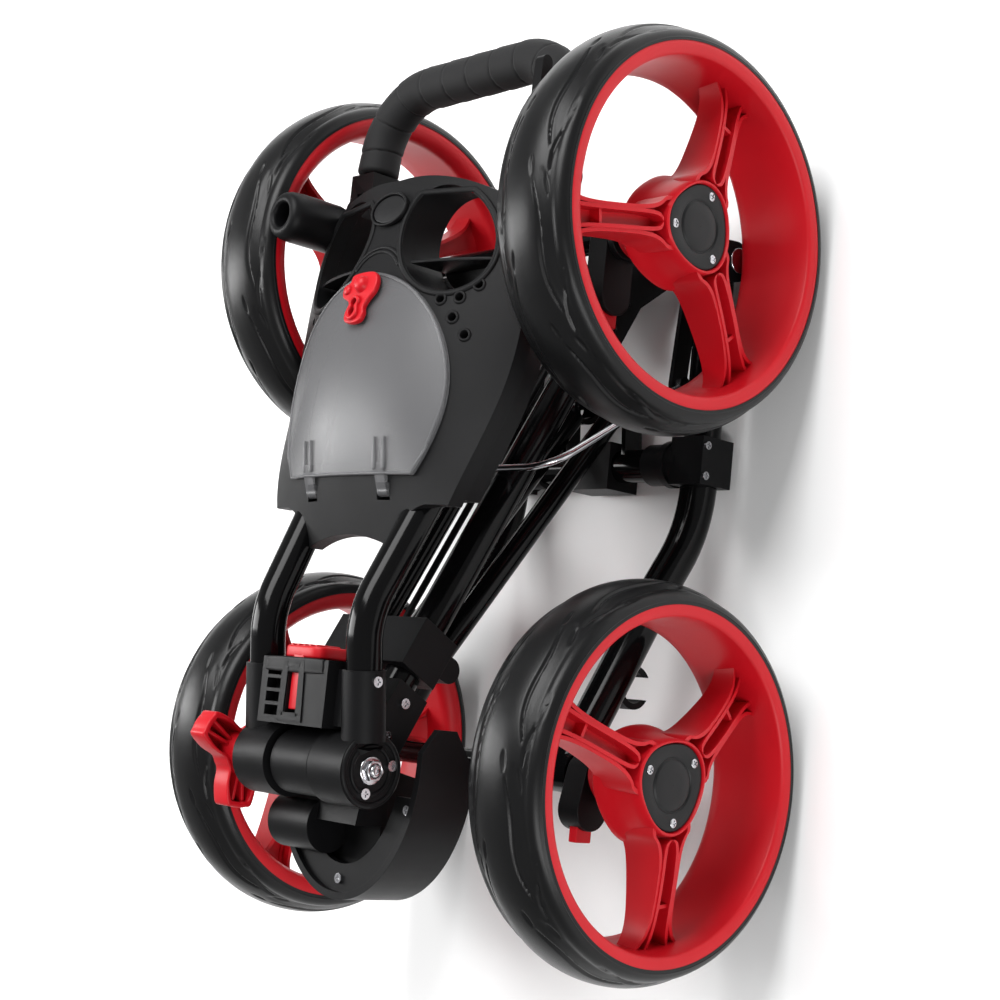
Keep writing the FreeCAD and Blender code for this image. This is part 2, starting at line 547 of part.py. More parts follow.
def head_hole(grow=0.0):
    """One of the two oval openings of the console's head."""
    ellipse = Part.Ellipse(Vector(0, 0, 0), HEAD_HOLE[2] + grow, HEAD_HOLE[3] + grow).toShape()
    solid = Part.Face(Part.Wire([ellipse])).extrude(Vector(0, 0, 400))
    solid.rotate(Vector(0, 0, 0), Vector(0, 0, 1), HEAD_HOLE[4])
    solid.translate(Vector(HEAD_HOLE[0], HEAD_HOLE[1], 0))
    return solid


def lid_plan(inset=0.0):
    """The lid's outline: a smooth arch over a straight lower edge."""
    half = [(66, -4), (77, 16), (84, 45), (82, 70), (72, 95), (56, 115), (34, 130), (0, 138.5)]
    arch = [Vector(x * (1 - inset / 84), y + (inset if y < 0 else -inset * 0.6), 0) for x, y in half]
    arch = [Vector(-p.x, p.y, 0) for p in arch[:-1]] + arch[::-1]
    curve = Part.BSplineCurve()
    curve.interpolate(arch)
    return outline([curve.toShape(), Part.LineSegment(arch[-1], arch[0]).toShape()])


lid_hinge = (-14.0, 263.0)
HOOK_X = (34.0, 44.0)
ACCESSORY = (-101.0, 191.0, 18.5)
openings = both(head_hole())
tubes_clear = both(tube_bar)
accessory_clear = Part.makeCylinder(ACCESSORY[2], 200, Vector(ACCESSORY[0], ACCESSORY[1], 150))
hook_clear = both(xrod(HOOK_X[0] - 1, HOOK_X[1] + 1, lid_hinge, 6.5))

tab_plan = outline([
    Part.LineSegment(Vector(-84, -22, 0), Vector(84, -22, 0)).toShape(),
    Part.Arc(Vector(84, -22, 0), Vector(58, -32, 0), Vector(46, -52, 0)).toShape(),
    Part.Arc(Vector(46, -52, 0), Vector(0, -43, 0), Vector(-46, -52, 0)).toShape(),
    Part.Arc(Vector(-46, -52, 0), Vector(-58, -32, 0), Vector(-84, -22, 0)).toShape()])
shell_plan = console_plan().fuse(tab_plan)
shell = console_slab(0, -SHELL_T).common(shell_plan)
hub_clear = both(xrod(85.2, 130.0, GRIP_PIVOT, 14.5))
shell = shell.cut([openings, tubes_clear, accessory_clear, lid_plan(9.0), hook_clear, hub_clear])
TEE_HOLES = [(66, 116), (79, 117), (90, 126), (77, 103), (87, 91), (-90, 126), (-81, 114)]
for x, y in TEE_HOLES:
    shell = shell.cut(Part.makeCylinder(2.6, 200, Vector(x, y, 150)))
badge = Part.Face(Part.Wire([Part.Ellipse(Vector(0, 0, 0), 19, 11).toShape()])).extrude(Vector(0, 0, 400))
badge.translate(Vector(0, 186, 0))
shell = shell.fuse(console_slab(1.2, -2).common(badge)).removeSplitter()
for side in (1, -1):
    shell = shell.fuse(xrod(side * 32.0, side * 46.0, lid_hinge, 1.5))
save("console_shell", largest(shell))

tray = console_slab(-SHELL_T, -TRAY_T).common(console_plan(6.0))
pocket = console_slab(0, -TRAY_T + 4.0).common(lid_plan(12.0))
tray = tray.cut([openings, tubes_clear, accessory_clear, pocket, hook_clear, hub_clear])
EAR_HOLE = 4.0
grip_ear = link((172.0, 206.0), GRIP_PIVOT, 11.0, 96.0, 104.0)
grip_ear = both(grip_ear.cut(accessory_clear)).cut(xrod(-110, 110, GRIP_PIVOT, EAR_HOLE + RUN))
tray = tray.fuse(grip_ear.cut(console_slab(30, -SHELL_T))).cut(accessory_clear).removeSplitter()
save("console_tray", largest(tray))

accessory = Part.makeCylinder(ACCESSORY[2], 54, Vector(ACCESSORY[0], ACCESSORY[1], 222))
accessory = accessory.cut(Part.makeCylinder(9.0, 60, Vector(ACCESSORY[0], ACCESSORY[1], 236)))
save("accessory_socket", accessory)

# ---- Lid and its latch ---------------------------------------------------------------
lid = console_slab(LID_LIFT + LID_T, LID_LIFT).common(lid_plan())
hook_side = [(-17.0, 265.0), (-12.0, 268.0), (-2.0, 271.4), (4.0, 272.6), (4.0, 268.0), (-8.0, 260.5)]
hook = xrod(*HOOK_X, lid_hinge, 4.0).fuse(plate(hook_side, *HOOK_X))
hook = hook.cut(xrod(*HOOK_X, lid_hinge, 1.5 + RUN))
hook = hook.cut(console_slab(LID_LIFT, -40).common(box((20, 60), (-8.8, 20), (200, 300))))
lid = lid.fuse([hook, mirrored(hook)])
LATCH_Y = 122.0


def crest_at(y):
    """The height of the console's top surface on the centre line."""
    line = Part.makeLine(Vector(0, y, 100), Vector(0, y, 400))
    return max(v.Z for v in console_slab(0, -SHELL_T).common(line).Vertexes)


latch_slope = (crest_at(LATCH_Y + 5) - crest_at(LATCH_Y - 5)) / 10
normal = Vector(0, -latch_slope, 1).normalize()
latch_point = Vector(0, LATCH_Y, crest_at(LATCH_Y) + LID_LIFT + LID_T)
lid = lid.cut(Part.makeCylinder(3.05, 12, latch_point - normal * 6, normal))
save("lid_window", largest(lid))

latch = Part.makeCylinder(3.0, 3.5, Vector(0, 0, -2.5))
latch = latch.fuse(Part.makeCylinder(12.0, 3.5, Vector(0, 0, 1.0)))
latch = latch.fuse(box((-5.5, 5.5), (-24, 13), (1.0, 9.0))).fuse(Part.makeCylinder(7, 9, Vector(0, 0, 1.0)))
latch = latch.cut(box((-1.6, 1.6), (-12, 6), (6.0, 12.0)))
latch.Placement = FreeCAD.Placement(latch_point, FreeCAD.Rotation(Vector(0, 0, 1), normal))
save("lid_latch", latch)


# ---- Grip ------------------------------------------------------------------------------
grip_line = [Vector(-GRIP_X, 226, 193.6), Vector(-GRIP_X, *GRIP_END), Vector(GRIP_X, *GRIP_END),
             Vector(GRIP_X, 226, 193.6)]
GRIP_BEND = 48.0
grip_bar = sweep(grip_line, GRIP_BEND, GRIP_TUBE_R)
save("grip_bar", grip_bar.cut(sweep(grip_line, GRIP_BEND, GRIP_TUBE_R - TUBE_WALL)))
foam = sweep(grip_line, GRIP_BEND, FOAM_R).cut(grip_bar).cut(box((-120, 120), (220, 240), (150, 240)))
save("foam_grip", foam)
hub = xrod(86, 95.7, GRIP_PIVOT, 13).fuse(xrod(104.3, 114, GRIP_PIVOT, 13))
hub = hub.fuse(xrod(86, 114, GRIP_PIVOT, EAR_HOLE)).fuse(box((87, 113), (224.5, 239.5), (181, 206)))
hub = hub.fuse(box((87, 95.7), (212, 226), (182, 206))).fuse(box((104.3, 113), (212, 226), (182, 206)))
hub = hub.cut(grip_bar)
brake_mount = box((90, 110), (226, 239.5), (206, 224)).cut(box((95.7, 104.3), (226, 240), (208, 225)))
LEVER_PIN = (233.0, 217.0)
brake_mount = brake_mount.fuse(xrod(90, 110, LEVER_PIN, 2.5))
save("grip_hubs", hub.fuse(brake_mount), mirrored(hub))
lever = link(LEVER_PIN, (286.0, 215.0), 4.5, 96.0, 104.0).cut(xrod(90, 110, LEVER_PIN, 2.5 + RUN))
save("brake_lever", lever)
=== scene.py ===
import json
from math import cos, exp, hypot, pi, radians, sin, sqrt

import bmesh
import bpy
from mathutils import Matrix, Vector
from mathutils.bvhtree import BVHTree


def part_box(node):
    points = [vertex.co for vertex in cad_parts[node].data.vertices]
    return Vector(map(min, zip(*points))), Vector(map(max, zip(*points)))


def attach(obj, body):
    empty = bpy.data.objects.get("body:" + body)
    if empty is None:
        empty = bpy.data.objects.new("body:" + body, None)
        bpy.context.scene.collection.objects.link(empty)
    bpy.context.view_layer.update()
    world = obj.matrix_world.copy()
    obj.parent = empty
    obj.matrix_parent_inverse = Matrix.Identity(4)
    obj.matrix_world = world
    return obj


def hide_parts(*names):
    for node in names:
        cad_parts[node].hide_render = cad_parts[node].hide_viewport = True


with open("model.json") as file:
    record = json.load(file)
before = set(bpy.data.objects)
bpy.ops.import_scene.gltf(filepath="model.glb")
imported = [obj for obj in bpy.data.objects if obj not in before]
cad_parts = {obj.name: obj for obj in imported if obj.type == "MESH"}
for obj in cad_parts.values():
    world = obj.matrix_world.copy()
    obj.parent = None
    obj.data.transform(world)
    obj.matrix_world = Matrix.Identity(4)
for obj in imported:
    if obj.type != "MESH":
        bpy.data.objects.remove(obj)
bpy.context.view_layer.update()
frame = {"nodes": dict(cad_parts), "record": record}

# A golf push trolley, folded and standing on its wheels. Metres; X across, +Y to the front, +Z up.
MM = 0.001
BODY_OF = {node: body for body, nodes in frame["record"]["behaviour"]["bodies"].items() for node in nodes}
SLOT_OF = {part["node"]: part["material_slot"] for part in frame["record"]["subparts"]}


# ---- Camera, lights and floor ---------------------------------------------------------
STANCE = radians(81.5)                   # the trolley is seen stood on end, turned this far about X
YAW, PITCH, ROLL = radians(47.45), radians(0.63), radians(-0.61)
EYE = Vector((1.0186, -0.1522, 1.0474))
LENS, SENSOR = 68.06, 36.0
WORLD_LIGHT = 0.42
ROOM_CENTRE = (0, 0, 0.15)               # what the lights aim at
FLOOR_HALF = 6.0


def stood_up(vector):
    """A direction of the upright stance, turned into the frame the folded trolley lies in."""
    return Matrix.Rotation(-STANCE, 3, "X") @ Vector(vector)


def make_camera():
    """A camera aimed in the upright stance, then turned into the folded trolley's frame."""
    ahead = Vector((-sin(YAW) * cos(PITCH), cos(YAW) * cos(PITCH), sin(PITCH)))
    right = ahead.cross(Vector((0, 0, 1))).normalized()
    up = right.cross(ahead)
    turned_right = right * cos(ROLL) + up * sin(ROLL)
    turned_up = up * cos(ROLL) - right * sin(ROLL)
    axes = [stood_up(turned_right), stood_up(turned_up), -stood_up(ahead)]
    data = bpy.data.cameras.new("camera")
    data.lens, data.sensor_width = LENS, SENSOR
    camera = link_new("camera", data)
    camera.matrix_world = Matrix.Translation(EYE) @ Matrix(axes).transposed().to_4x4()
    bpy.context.scene.camera = camera


def make_light(name, place, size, power):
    """A rectangular soft light that aims at the trolley."""
    data = bpy.data.lights.new(name, "AREA")
    data.shape, data.size, data.size_y, data.energy = "RECTANGLE", size[0], size[1], power
    light = link_new(name, data)
    light.location = place
    light.rotation_euler = (Vector(ROOM_CENTRE) - Vector(place)).to_track_quat("-Z", "Y").to_euler()


def make_studio():
    """Even daylight, three soft lights and a pale floor."""
    bpy.context.scene.view_settings.view_transform = "Standard"
    world = bpy.data.worlds.new("studio")
    bpy.context.scene.world = world
    world.use_nodes = True
    background = world.node_tree.nodes["Background"]
    background.inputs["Color"].default_value = (1, 1, 1, 1)
    background.inputs["Strength"].default_value = WORLD_LIGHT
    make_light("key", (0.25, 1.5, 2.1), (1.5, 1.5), 78)
    make_light("side", (-1.5, 0.1, 1.6), (0.5, 1.8), 34)
    make_light("fill", (2.0, -1.2, 1.1), (0.5, 1.6), 30)
    mesh = bpy.data.meshes.new("floor")
    corners = rectangle(-FLOOR_HALF, -FLOOR_HALF, FLOOR_HALF, FLOOR_HALF)
    mesh.from_pydata([(x, y, 0) for x, y in corners], [], [(0, 1, 2, 3)])
    floor = link_new("floor", mesh)
    floor.data.materials.append(material("floor_paper", (0.9, 0.9, 0.9), 0.9, grain=(900, 0.02)))


# ---- Materials --------------------------------------------------------------------------
BUMP_DEPTH, WAVE_DEPTH = 0.4 * MM, 4 * MM


def material(name, colour, rough, grain=(0, 0), mottle=(0, 0), rough_mottle=0.0, metallic=0.0,
             sheen=0.0, specular=0.5, wave=(0, 0), alpha=1.0):
    """A moulded, painted or metal surface: noise tints the colour and roughness, finer noise bumps it.

    grain and mottle are (scale per metre, strength); wave is a broad second bump.
    """
    made = bpy.data.materials.new(name)
    made.use_nodes = True
    tree = made.node_tree
    shader = tree.nodes["Principled BSDF"]
    shader.inputs["Base Color"].default_value = (*colour, 1)
    shader.inputs["Roughness"].default_value = rough
    shader.inputs["Metallic"].default_value = metallic
    shader.inputs["Sheen Weight"].default_value = sheen
    shader.inputs["Specular IOR Level"].default_value = specular
    shader.inputs["Alpha"].default_value = alpha
    place = tree.nodes.new("ShaderNodeTexCoord").outputs["Object"]

    def noise_at(scale, detail):
        node = tree.nodes.new("ShaderNodeTexNoise")
        node.inputs["Scale"].default_value = scale
        node.inputs["Detail"].default_value = detail
        tree.links.new(place, node.inputs["Vector"])
        return node.outputs["Fac"]

    if mottle[0]:
        ramp = tree.nodes.new("ShaderNodeMapRange")
        ramp.inputs["To Min"].default_value = 1 - mottle[1]
        ramp.inputs["To Max"].default_value = 1 + mottle[1]
        tree.links.new(noise_at(mottle[0], 4), ramp.inputs["Value"])
        mix = tree.nodes.new("ShaderNodeVectorMath")
        mix.operation = "SCALE"
        mix.inputs[0].default_value = colour
        tree.links.new(ramp.outputs["Result"], mix.inputs["Scale"])
        tree.links.new(mix.outputs["Vector"], shader.inputs["Base Color"])
    if rough_mottle:
        spread = tree.nodes.new("ShaderNodeMapRange")
        spread.inputs["To Min"].default_value = rough - rough_mottle
        spread.inputs["To Max"].default_value = rough + rough_mottle
        tree.links.new(noise_at(45, 5), spread.inputs["Value"])
        tree.links.new(spread.outputs["Result"], shader.inputs["Roughness"])
    normal = None
    for scale, strength, distance in ((*grain, BUMP_DEPTH), (*wave, WAVE_DEPTH)):
        if scale:
            bump = tree.nodes.new("ShaderNodeBump")
            bump.inputs["Strength"].default_value = strength
            bump.inputs["Distance"].default_value = distance
            tree.links.new(noise_at(scale, 3), bump.inputs["Height"])
            if normal:
                tree.links.new(normal, bump.inputs["Normal"])
            normal = bump.outputs["Normal"]
    if normal:
        tree.links.new(normal, shader.inputs["Normal"])
    return made


LOOKS = {
    "gloss_black_tube": dict(colour=(0.002, 0.002, 0.0022), rough=0.13, grain=(260, 0.05), mottle=(30, 0.15),
                             rough_mottle=0.04, specular=0.14),
    "black_plastic": dict(colour=(0.0038, 0.0038, 0.0042), rough=0.42, grain=(2600, 0.25), mottle=(60, 0.2),
                          rough_mottle=0.06, specular=0.12),
    "console_plastic": dict(colour=(0.0052, 0.0052, 0.0056), rough=0.46, grain=(3200, 0.4), mottle=(40, 0.12),
                            rough_mottle=0.05, specular=0.12),
    "cap_plastic": dict(colour=(0.008, 0.008, 0.0085), rough=0.4, grain=(2800, 0.2), mottle=(60, 0.15),
                        rough_mottle=0.05, specular=0.2),
    "black_rubber": dict(colour=(0.006, 0.006, 0.006), rough=0.55, grain=(1800, 0.3), mottle=(50, 0.2),
                         rough_mottle=0.05, specular=0.2),
    "foam": dict(colour=(0.010, 0.010, 0.0105), rough=0.7, grain=(1500, 0.6), mottle=(90, 0.25),
                 rough_mottle=0.08, sheen=0.03, specular=0.2),
    "tyre": dict(colour=(0.0045, 0.0045, 0.0048), rough=0.32, grain=(1900, 0.16), mottle=(35, 0.25),
                 rough_mottle=0.06, wave=(60, 0.03), specular=0.2),
    "red_plastic": dict(colour=(0.44, 0.004, 0.010), rough=0.42, grain=(900, 0.08), mottle=(25, 0.08),
                        rough_mottle=0.05, specular=0.25),
    "steel": dict(colour=(0.46, 0.46, 0.48), rough=0.2, grain=(1200, 0.1), mottle=(120, 0.1),
                  rough_mottle=0.06, metallic=1.0),
    "window_plastic": dict(colour=(0.12, 0.12, 0.125), rough=0.36, grain=(700, 0.1), mottle=(30, 0.05),
                           rough_mottle=0.04, alpha=0.55),
}


# ---- Mesh helpers -----------------------------------------------------------------------
WELD = 1e-6                              # vertices this near each other become one
FLAT = radians(0.6)                      # faces that turn less than this are one flat face


def add_piece(piece, body, slot_name):
    """The piece rides on a body and takes the material of a slot."""
    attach(piece, body)
    piece.data.materials.clear()
    piece.data.materials.append(MATERIALS[slot_name])


def place_piece(piece, node):
    """The piece stands for a CAD node, on the node's body and in its material."""
    add_piece(piece, BODY_OF[node], SLOT_OF[node])
    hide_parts(node)


def link_new(name, data):
    """A new object in the scene that holds a mesh, a curve, a camera or a light."""
    made = bpy.data.objects.new(name, data)
    bpy.context.scene.collection.objects.link(made)
    return made


def evaluated_mesh(thing):
    """A new mesh of an object, with its modifiers or its curve bevel applied."""
    return bpy.data.meshes.new_from_object(thing.evaluated_get(bpy.context.evaluated_depsgraph_get()))


def make_mesh(name, vertices, faces):
    """A smooth-shaded object from vertices in metres, its faces all turned outwards."""
    mesh = bpy.data.meshes.new(name)
    mesh.from_pydata([tuple(v) for v in vertices], [], faces)
    bm = bmesh.new()
    bm.from_mesh(mesh)
    bmesh.ops.recalc_face_normals(bm, faces=bm.faces)
    bm.to_mesh(mesh)
    bm.free()
    mesh.shade_smooth()
    return link_new(name, mesh)


def grid_faces(rows, columns, closed_rows, closed_columns):
    """The quads between neighbouring vertices that are listed row by row."""
    faces = []
    for i in range(rows if closed_rows else rows - 1):
        for j in range(columns if closed_columns else columns - 1):
            a, b = i * columns, (i + 1) % rows * columns
            k = (j + 1) % columns
            faces.append((a + j, a + k, b + k, b + j))
    return faces


def surface_tree(node):
    """A CAD node's surface, to be met by rays."""
    mesh = frame["nodes"][node].data
    return BVHTree.FromPolygons([v.co for v in mesh.vertices], [p.vertices for p in mesh.polygons])


def seen_from_above(tree, x, y):
    """The highest point of a surface at x and y (in millimetres) and its normal, or two Nones."""
    return tree.ray_cast(Vector((x * MM, y * MM, 0.5)), Vector((0, 0, -1)))[:2]


def bevel(piece, width, angle=35):
    """Rounds the edges that turn more than an angle; width in millimetres."""
    modifier = piece.modifiers.new("bevel", "BEVEL")
    modifier.width, modifier.segments = width * MM, 2
    modifier.limit_method, modifier.angle_limit = "ANGLE", radians(angle)
    modifier.harden_normals = True
    piece.data.set_sharp_from_angle(angle=radians(angle))


def dress(node, width):
    """A copy of a CAD node, with its flat faces joined up and its edges rounded."""
    piece = frame["nodes"][node].copy()
    piece.data = frame["nodes"][node].data.copy()
    piece.name = node + "_rounded"
    for key in list(piece.keys()):
        del piece[key]
    piece.parent = None
    bpy.context.scene.collection.objects.link(piece)
    mesh = piece.data
    if "custom_normal" in mesh.attributes:
        mesh.attributes.remove(mesh.attributes["custom_normal"])
    bm = bmesh.new()
    bm.from_mesh(mesh)
    bmesh.ops.remove_doubles(bm, verts=bm.verts, dist=WELD)
    bmesh.ops.dissolve_limit(bm, angle_limit=FLAT, verts=bm.verts, edges=bm.edges)
    bm.to_mesh(mesh)
    bm.free()
    mesh.shade_smooth()
    bevel(piece, width)
    place_piece(piece, node)


# ---- Small mouldings --------------------------------------------------------------------
def turns(steps):
    """The angles that divide a full turn evenly."""
    return [2 * pi * k / steps for k in range(steps)]


def rectangle(left, low, right, high):
    """The corners of a rectangle, anticlockwise from its lower left."""
    return [(left, low), (right, low), (right, high), (left, high)]


def smooth_loop(points, steps):
    """A closed curve through points (Catmull-Rom), as a list of (u, v)."""
    out = []
    for k in range(len(points)):
        p = [Vector(points[(k + j) % len(points)]) for j in (-1, 0, 1, 2)]
        for j in range(steps):
            t = j / steps
            square, cube = 2 * p[0] - 5 * p[1] + 4 * p[2] - p[3], 3 * p[1] - p[0] - 3 * p[2] + p[3]
            out.append(0.5 * (2 * p[1] + (p[2] - p[0]) * t + square * t * t + cube * t ** 3))
    return out


def oval(centre, half_u, half_v, steps=48, tilt=0.0):
    """An ellipse, its long axis turned by tilt degrees."""
    c, s = cos(radians(tilt)), sin(radians(tilt))
    out = []
    for angle in turns(steps):
        u, v = half_u * cos(angle), half_v * sin(angle)
        out.append(Vector((centre[0] + u * c - v * s, centre[1] + u * s + v * c)))
    return out


def moulded_plate(name, loops, thickness, edge, matrix):
    """A flat plate with holes and rounded edges, in millimetres, standing up from z = 0 of matrix."""
    curve = bpy.data.curves.new(name, "CURVE")
    curve.dimensions, curve.fill_mode = "2D", "BOTH"
    curve.extrude, curve.bevel_depth, curve.bevel_resolution = thickness / 2 - edge, edge, 2
    curve.offset = -edge
    for loop in loops:
        spline = curve.splines.new("POLY")
        spline.points.add(len(loop) - 1)
        for point, place in zip(spline.points, loop):
            point.co = (place[0], place[1], 0, 1)
        spline.use_cyclic_u = True
    source = link_new(name, curve)
    mesh = evaluated_mesh(source)
    bpy.data.objects.remove(source)
    mesh.transform(matrix @ Matrix.Scale(MM, 4) @ Matrix.Translation((0, 0, thickness / 2)))
    bm = bmesh.new()
    bm.from_mesh(mesh)
    bmesh.ops.remove_doubles(bm, verts=bm.verts, dist=WELD)
    bmesh.ops.recalc_face_normals(bm, faces=bm.faces)
    bm.to_mesh(mesh)
    bm.free()
    mesh.shade_smooth()
    mesh.set_sharp_from_angle(angle=radians(50))
    return link_new(name, mesh)


def turned_piece(name, profile, matrix, steps=64):
    """A closed form turned about z of matrix from (height, radius) pairs, in millimetres."""
    points = []
    for angle in turns(steps):
        points += [matrix @ (Vector((r * cos(angle), r * sin(angle), h)) * MM) for h, r in profile]
    piece = make_mesh(name, points, grid_faces(steps, len(profile), True, True))
    piece.data.set_sharp_from_angle(angle=radians(55))
    return piece


def cross_screw(matrix, radius, rise):
    """A pan-head screw with a cross recess, its seat at z = 0 of matrix, in millimetres."""
    profile = [(-2.5, 0.1), (-2.5, radius * 0.9), (0, radius), (rise * 0.45, radius * 0.97),
               (rise * 0.85, radius * 0.75), (rise, radius * 0.5), (rise, 0.1)]
    head = turned_piece("head", profile, matrix, 32)
    long, short = radius * 0.66, radius * 0.17
    corners = [(short, short), (short, long), (-short, long), (-short, short),
               (-long, short), (-long, -short), (-short, -short), (-short, -long),
               (short, -long), (short, -short), (long, -short), (long, short)]
    cutter = link_new("cross", bpy.data.meshes.new("cross"))
    bm = bmesh.new()
    lower = [bm.verts.new((x * MM, y * MM, (rise - 0.9) * MM)) for x, y in corners]
    upper = [bm.verts.new((x * MM, y * MM, (rise + 1) * MM)) for x, y in corners]
    bm.faces.new(lower[::-1])
    bm.faces.new(upper)
    for k in range(len(corners)):
        after = (k + 1) % len(corners)
        bm.faces.new((lower[k], lower[after], upper[after], upper[k]))
    bm.to_mesh(cutter.data)
    bm.free()
    cutter.data.transform(matrix)
    modifier = head.modifiers.new("recess", "BOOLEAN")
    modifier.operation, modifier.object, modifier.solver = "DIFFERENCE", cutter, "EXACT"
    mesh = evaluated_mesh(head)
    bpy.data.objects.remove(cutter)
    head.modifiers.clear()
    head.data = mesh
    mesh.set_sharp_from_angle(angle=radians(40))
    return head


def join(name, pieces):
    """One object from several, which are removed."""
    bm = bmesh.new()
    for piece in pieces:
        bm.from_mesh(piece.data)
        bpy.data.objects.remove(piece)
    mesh = bpy.data.meshes.new(name)
    bm.to_mesh(mesh)
    bm.free()
    return link_new(name, mesh)


def frame_at(origin, z_axis, y_hint):
    """A matrix at origin (metres) whose z is z_axis and whose y leans to y_hint."""
    z = Vector(z_axis).normalized()
    x = Vector(y_hint).cross(z).normalized()
    turned = Matrix((x, z.cross(x), z)).transposed().to_4x4()
    return Matrix.Translation(origin) @ turned


def bead(name, loop, tree, wide, tall, lift=0.0):
    """A closed round bead laid along a loop of (x, y) on a surface, in millimetres."""
    points = []
    for x, y in loop:
        point = seen_from_above(tree, x, y)[0]
        if point:
            points.append(point + Vector((0, 0, lift * MM)))
    vertices, around = [], 10
    for k, point in enumerate(points):
        ahead = (points[(k + 1) % len(points)] - points[k - 1]).normalized()
        across = ahead.cross(Vector((0, 0, 1))).normalized()
        up = across.cross(ahead)
        for angle in turns(around):
            vertices.append(point + (across * cos(angle) * wide + up * sin(angle) * tall) * MM)
    return make_mesh(name, vertices, grid_faces(len(points), around, True, True))


# ---- Wheels -----------------------------------------------------------------------------
WHEELS = {
    "rear_right_wheel": (1, 68.5), "rear_left_wheel": (-1, 38.5),
    "front_right_wheel": (1, 98.5), "front_left_wheel": (-1, 60.0)}   # side, first spoke's angle
CROWN_DROP = 7 * MM                       # how much lower the tread's edges are than its middle
SHOULDER = 9 * MM                         # radius between the tread and the side wall
RIM_SEAM, RIM_SEAT = 0.892, 0.836         # where the tyre meets the lip and the seat, as shares of its radius
HUB_CORNER = 0.055                        # how three-cornered the hub is
TREAD_REPEATS = 8
SCREW_CIRCLE = 24.2                       # radius on which a cap's screws stand
GROOVES_TO, TOP_TO = 34, 30               # how far from the tread's middle grooves and its top reach


def wheel_measures(name):
    """The tyre's centre (y, z), radius, half width and middle x, in metres."""
    low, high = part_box(name + "_tyre")
    centre = (low.y + high.y) / 2, (low.z + high.z) / 2
    return centre, (high.z - low.z) / 2, (high.x - low.x) / 2, (high.x + low.x) / 2


def on_wheel(x, radius, angle, centre):
    """The point at x, and at a radius and an angle about a wheel's axis."""
    return x, centre[0] + radius * cos(angle), centre[1] + radius * sin(angle)


def smooth_step(low, high, value):
    """0 below low, 1 above high, and a smooth rise between."""
    t = min(max((value - low) / (high - low), 0), 1)
    return t * t * (3 - 2 * t)


def leaf(u, v, centre, length, width, lean, bow, edge):
    """How deep a point lies in a leaf-shaped groove, 0 to 1; u runs round the tyre, v across it."""
    along = (u - centre[0]) / length + 0.5
    if not 0 < along < 1:
        return 0.0
    middle = centre[1] + lean * (along - 0.5) + bow * sin(2 * pi * along)
    half = width / 2 * sin(pi * along) ** 0.6
    return 1 - smooth_step(half - edge, half + edge, abs(v - middle))


def tread_depth(u, v, repeat):
    """The groove depth in millimetres at u round the tyre and v across it."""
    grooves = (                               # depth, then the leaf's shape
        (0.55, (repeat * 0.4, 21), repeat * 0.9, 10, 8, 1.5, 2.4),
        (1.3, (repeat * 0.42, 15.5), repeat * 0.8, 2.6, 9, 2.2, 0.8),
        (1.2, (repeat * 0.72, 25), repeat * 0.5, 2.4, -6, 1.2, 0.8),
        (1.2, (repeat * 0.05, 21), 15, 3.0, 3, 0, 0.8),
        (1.1, (repeat * 0.93, 9), 12, 2.6, 2, 0, 0.8))
    depth = 0.0
    for side in (-1, 1):
        local = (u + (repeat * 0.45 if side < 0 else 0)) % repeat
        for turn in (-repeat, 0, repeat):
            depth = max(depth, *(deep * leaf(local + turn, v * side, *shape) for deep, *shape in grooves))
    return depth


def tyre_section(radius, half):
    """The tread's and walls' section as (x, radius), from the outer bead over the top to the inner bead."""
    seam = RIM_SEAM * radius
    section = [(half - 0.4 * MM, seam), (half, seam + 0.8 * MM), (half - 0.9 * MM, seam + 2.4 * MM)]
    for k in range(2, 9):
        bulge = 1.2 * MM * sin(pi * k / 16)
        section.append((half - 1.2 * MM + bulge, seam + (radius - CROWN_DROP - SHOULDER - seam) * k / 8))
    for k in range(1, 8):
        turn = pi / 2 * k / 8
        section.append((half - SHOULDER * (1 - cos(turn)), radius - CROWN_DROP - SHOULDER * (1 - sin(turn))))
    outer_wall = list(section)
    crown_steps = 64
    for k in range(crown_steps + 1):
        t = 1 - 2 * k / crown_steps
        section.append(((half - SHOULDER) * t, radius - CROWN_DROP * abs(t) ** 2.3))
    return section + [(-x, r) for x, r in reversed(outer_wall)]


def make_tyre(name, side):
    """The foam tyre with its moulded grooves, and the faces by which it sits in the rim."""
    centre, radius, half, middle = wheel_measures(name)
    section = tyre_section(radius, half)
    seam, seat, lip = RIM_SEAM * radius, RIM_SEAT * radius, half - 3.6 * MM
    under = [(-lip, seam), (-lip, seat), (lip, seat), (lip, seam)]
    arc = [0.0]
    for (x0, r0), (x1, r1) in zip(section, section[1:]):
        arc.append(arc[-1] + hypot(x1 - x0, r1 - r0) / MM)
    steps = 500
    round_length = 2 * pi * radius / MM
    repeat = round_length / TREAD_REPEATS
    vertices = []
    for i, angle in enumerate(turns(steps)):
        u = round_length * i / steps
        for k, (x, r) in enumerate(section):
            v = arc[-1] / 2 - arc[k]
            depth = tread_depth(u, v, repeat) * MM if abs(v) < GROOVES_TO else 0.0
            px, pr = x - depth * 0.35 * (x / half), r - depth * (0.95 if abs(v) < TOP_TO else 0.7)
            vertices.append(on_wheel(middle + side * px, pr, angle, centre))
        for x, r in under:
            vertices.append(on_wheel(middle + side * x, r, angle, centre))
    faces = grid_faces(steps, len(section) + len(under), True, True)
    piece = make_mesh(name + "_treaded_tyre", vertices, faces)
    piece.data.set_sharp_from_angle(angle=radians(50))
    place_piece(piece, name + "_tyre")


def turned_vertices(profile, steps, centre, side, middle, growth=None):
    """The vertices of (x, radius) pairs turned about a wheel's axis; growth(angle) scales the radius."""
    vertices = []
    for angle in turns(steps):
        for x, r in profile:
            grown = r * (growth(angle) if growth else 1)
            vertices.append(on_wheel(middle + side * x, grown, angle, centre))
    return vertices


